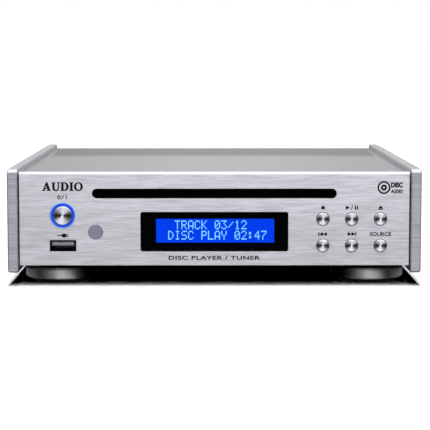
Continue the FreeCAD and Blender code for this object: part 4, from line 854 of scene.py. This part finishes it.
def studio_floor():
    """Pale matt paper, seamless to the horizon. Metal mirrors the cards of the studio instead of it, and
    below the player it mirrors a black sheet that stands in for the shadow there: a painted shadow."""
    material, tree = blank("white_studio_paper")
    fibres = grain(tree, (300, 300, 300), detail=2.0)
    add(tree, "ShaderNodeOutputMaterial", {}, {
        "Surface": add(tree, "ShaderNodeBsdfDiffuse", {}, {
            "Color": (add(tree, "ShaderNodeMix", {"data_type": "RGBA"}, {
                0: add(tree, "ShaderNodeMapRange", SOFT, [fibres, 0.2, 0.8, 0.0, 1.0]),
                6: linear("ececee"), 7: linear("f2f2f3")}), 2),
            "Roughness": 0.5})})
    floor = flat_sheet("studio_floor", (-40, 40), (-40, 40), 0.0)
    floor.data.materials.append(material)
    floor.visible_glossy = floor.visible_transmission = False
    # painted shadow: a black sheet below the player, seen only in reflections
    material, tree = blank("painted_shadow_below_the_player")
    add(tree, "ShaderNodeOutputMaterial", {}, {
        "Surface": add(tree, "ShaderNodeBsdfDiffuse", {}, {"Color": (0.0, 0.0, 0.0, 1.0)})})
    dark = flat_sheet("painted_shadow_below_the_player", (-0.106, 0.106), (-0.113, 0.113), 0.0002)
    dark.data.materials.append(material)
    dark.visible_camera = dark.visible_diffuse = dark.visible_transmission = dark.visible_shadow = False


def studio_world():
    """White all round to the eye. To glossy surfaces: white cards in front, above and below the lens, dark
    flags at the sides, a soft box overhead and a grey wall behind. Matt surfaces get the lamps alone."""
    world = bpy.data.worlds.new("studio")
    bpy.context.scene.world = world
    world.use_nodes = True
    world.cycles_visibility.diffuse = False
    tree = world.node_tree
    tree.nodes.clear()
    place = add(tree, "ShaderNodeTexCoord")
    way = add(tree, "ShaderNodeSeparateXYZ", {}, {0: (place, "Generated")})
    x, y, z = (way, 0), (way, 1), (way, 2)
    # in front: bright cards above and below the lens, darkness level with it and to both sides
    side = add(tree, "ShaderNodeMath", {"operation": "ABSOLUTE"}, [
        add(tree, "ShaderNodeMath", {"operation": "SUBTRACT"}, [x, 0.03])])
    level = add(tree, "ShaderNodeMath", {"operation": "ADD"}, [z, 0.15])
    lean = add(tree, "ShaderNodeMath", {"operation": "MULTIPLY"}, [
        add(tree, "ShaderNodeMath", {"operation": "MULTIPLY"}, [x, level]),
        0.9])
    card = add(tree, "ShaderNodeMapRange", SOFT, [
        add(tree, "ShaderNodeMath", {"operation": "SUBTRACT"}, [side, lean]),
        0.16, 0.5, 2.5, 0.9])
    gap = add(tree, "ShaderNodeMapRange", SOFT, [
        add(tree, "ShaderNodeMath", {"operation": "ABSOLUTE"}, [level]),
        0.17, 0.33, 0.0, 1.0])
    front = add(tree, "ShaderNodeMath", {"operation": "ADD"}, [
        add(tree, "ShaderNodeMath", {"operation": "MULTIPLY"}, [card, gap]),
        0.012])
    front = add(tree, "ShaderNodeMath", {"operation": "MULTIPLY"}, [
        front, add(tree, "ShaderNodeMapRange", SOFT, [z, -0.6, 0.1, 0.6, 1.25])])
    # a slack band over the lens, so that the cover isn't glaring when seen from behind
    over = add(tree, "ShaderNodeMath", {"operation": "ABSOLUTE"}, [
        add(tree, "ShaderNodeMath", {"operation": "SUBTRACT"}, [z, 0.2])])
    front = add(tree, "ShaderNodeMath", {"operation": "MULTIPLY"}, [
        front, add(tree, "ShaderNodeMapRange", SOFT, [over, 0.1, 0.24, 0.3, 1.0])])
    # behind: a grey wall, a little brighter above the edge of a card and towards its own top
    low_wall = add(tree, "ShaderNodeMath", {"operation": "ADD"}, [
        add(tree, "ShaderNodeMapRange", SOFT, [z, 0.0652, 0.0658, 0.0, 0.27]),
        add(tree, "ShaderNodeMapRange", SOFT, [z, 0.061, 0.065, 0.29, 0.23])])
    wall = add(tree, "ShaderNodeMath", {"operation": "ADD"}, [
        low_wall, add(tree, "ShaderNodeMapRange", SOFT, [z, 0.08, 0.35, 0.0, 0.4])])
    middle = add(tree, "ShaderNodeMath", {"operation": "ABSOLUTE"}, [
        add(tree, "ShaderNodeMath", {"operation": "SUBTRACT"}, [x, 0.01])])
    wall = add(tree, "ShaderNodeMath", {"operation": "MULTIPLY"}, [
        wall, add(tree, "ShaderNodeMapRange", SOFT, [middle, 0.0, 0.15, 1.03, 0.78])])
    behind = add(tree, "ShaderNodeMapRange", SOFT, [y, -0.35, -0.05, 0.0, 1.0])
    around = add(tree, "ShaderNodeMix", {"data_type": "FLOAT"}, {0: behind, 2: front, 3: wall})
    overhead = add(tree, "ShaderNodeMapRange", SOFT, [z, 0.55, 0.85, 0.0, 1.0])
    above = add(tree, "ShaderNodeMapRange", SOFT, [y, -0.2, 0.35, 2.6, 1.0])
    glossy = add(tree, "ShaderNodeMix", {"data_type": "FLOAT"}, {0: overhead, 2: around, 3: above})
    rays = add(tree, "ShaderNodeLightPath")
    matt = add(tree, "ShaderNodeMath", {"operation": "MINIMUM"}, [(rays, "Diffuse Depth"), 1.0])
    seen = add(tree, "ShaderNodeMix", {"data_type": "FLOAT"}, {0: matt, 2: glossy, 3: 0.0})
    seen = add(tree, "ShaderNodeMix", {"data_type": "FLOAT"}, {0: (rays, "Is Camera Ray"), 2: seen, 3: 1.0})
    sky = add(tree, "ShaderNodeBackground", {}, {"Color": (1.0, 1.0, 1.0, 1.0), "Strength": seen})
    add(tree, "ShaderNodeOutputWorld", {}, {"Surface": sky})


def strip_light(across, lamps):
    """A strip of soft lamps in a row from overhead towards the front, each so many degrees across and given
    by its tilt and power. It lights the paper and matt surfaces; what metal mirrors is in the studio's
    world."""
    for number, (tilt, power) in enumerate(lamps):
        light = bpy.data.lights.new("strip_lamp_%d" % number, "SUN")
        light.energy = power
        light.angle = math.radians(across)
        made = bpy.data.objects.new(light.name, light)
        made.rotation_euler = (math.radians(tilt), 0.0, 0.0)
        made.visible_glossy = False
        bpy.context.scene.collection.objects.link(made)


studio_floor()
studio_world()
LAMP_ANGLE = 9.0
LAMPS = [(-5.0, 1.7), (6.0, 1.5), (20.0, 1.0), (36.0, 0.55), (52.0, 0.25)]
strip_light(LAMP_ANGLE, LAMPS)

# The lens, place and turn are fitted to the corners of the front, the cover and the feet.
CAMERA_LENS = 134.17
CAMERA_PLACE = (-3.147, -941.36, 122.36)
CAMERA_DOWN, CAMERA_RIGHT = 5.884, 0.2395       # degrees
eye = bpy.data.cameras.new("camera")
eye.sensor_width = 36.0
eye.lens = CAMERA_LENS
eye.clip_start = 0.01
eye.clip_end = 200.0
camera = bpy.data.objects.new("camera", eye)
camera.location = tuple(c * MM for c in CAMERA_PLACE)
camera.rotation_euler = (math.radians(90.0 - CAMERA_DOWN), 0.0, math.radians(-CAMERA_RIGHT))
bpy.context.scene.collection.objects.link(camera)
bpy.context.scene.camera = camera
bpy.context.scene.view_settings.view_transform = "Standard"
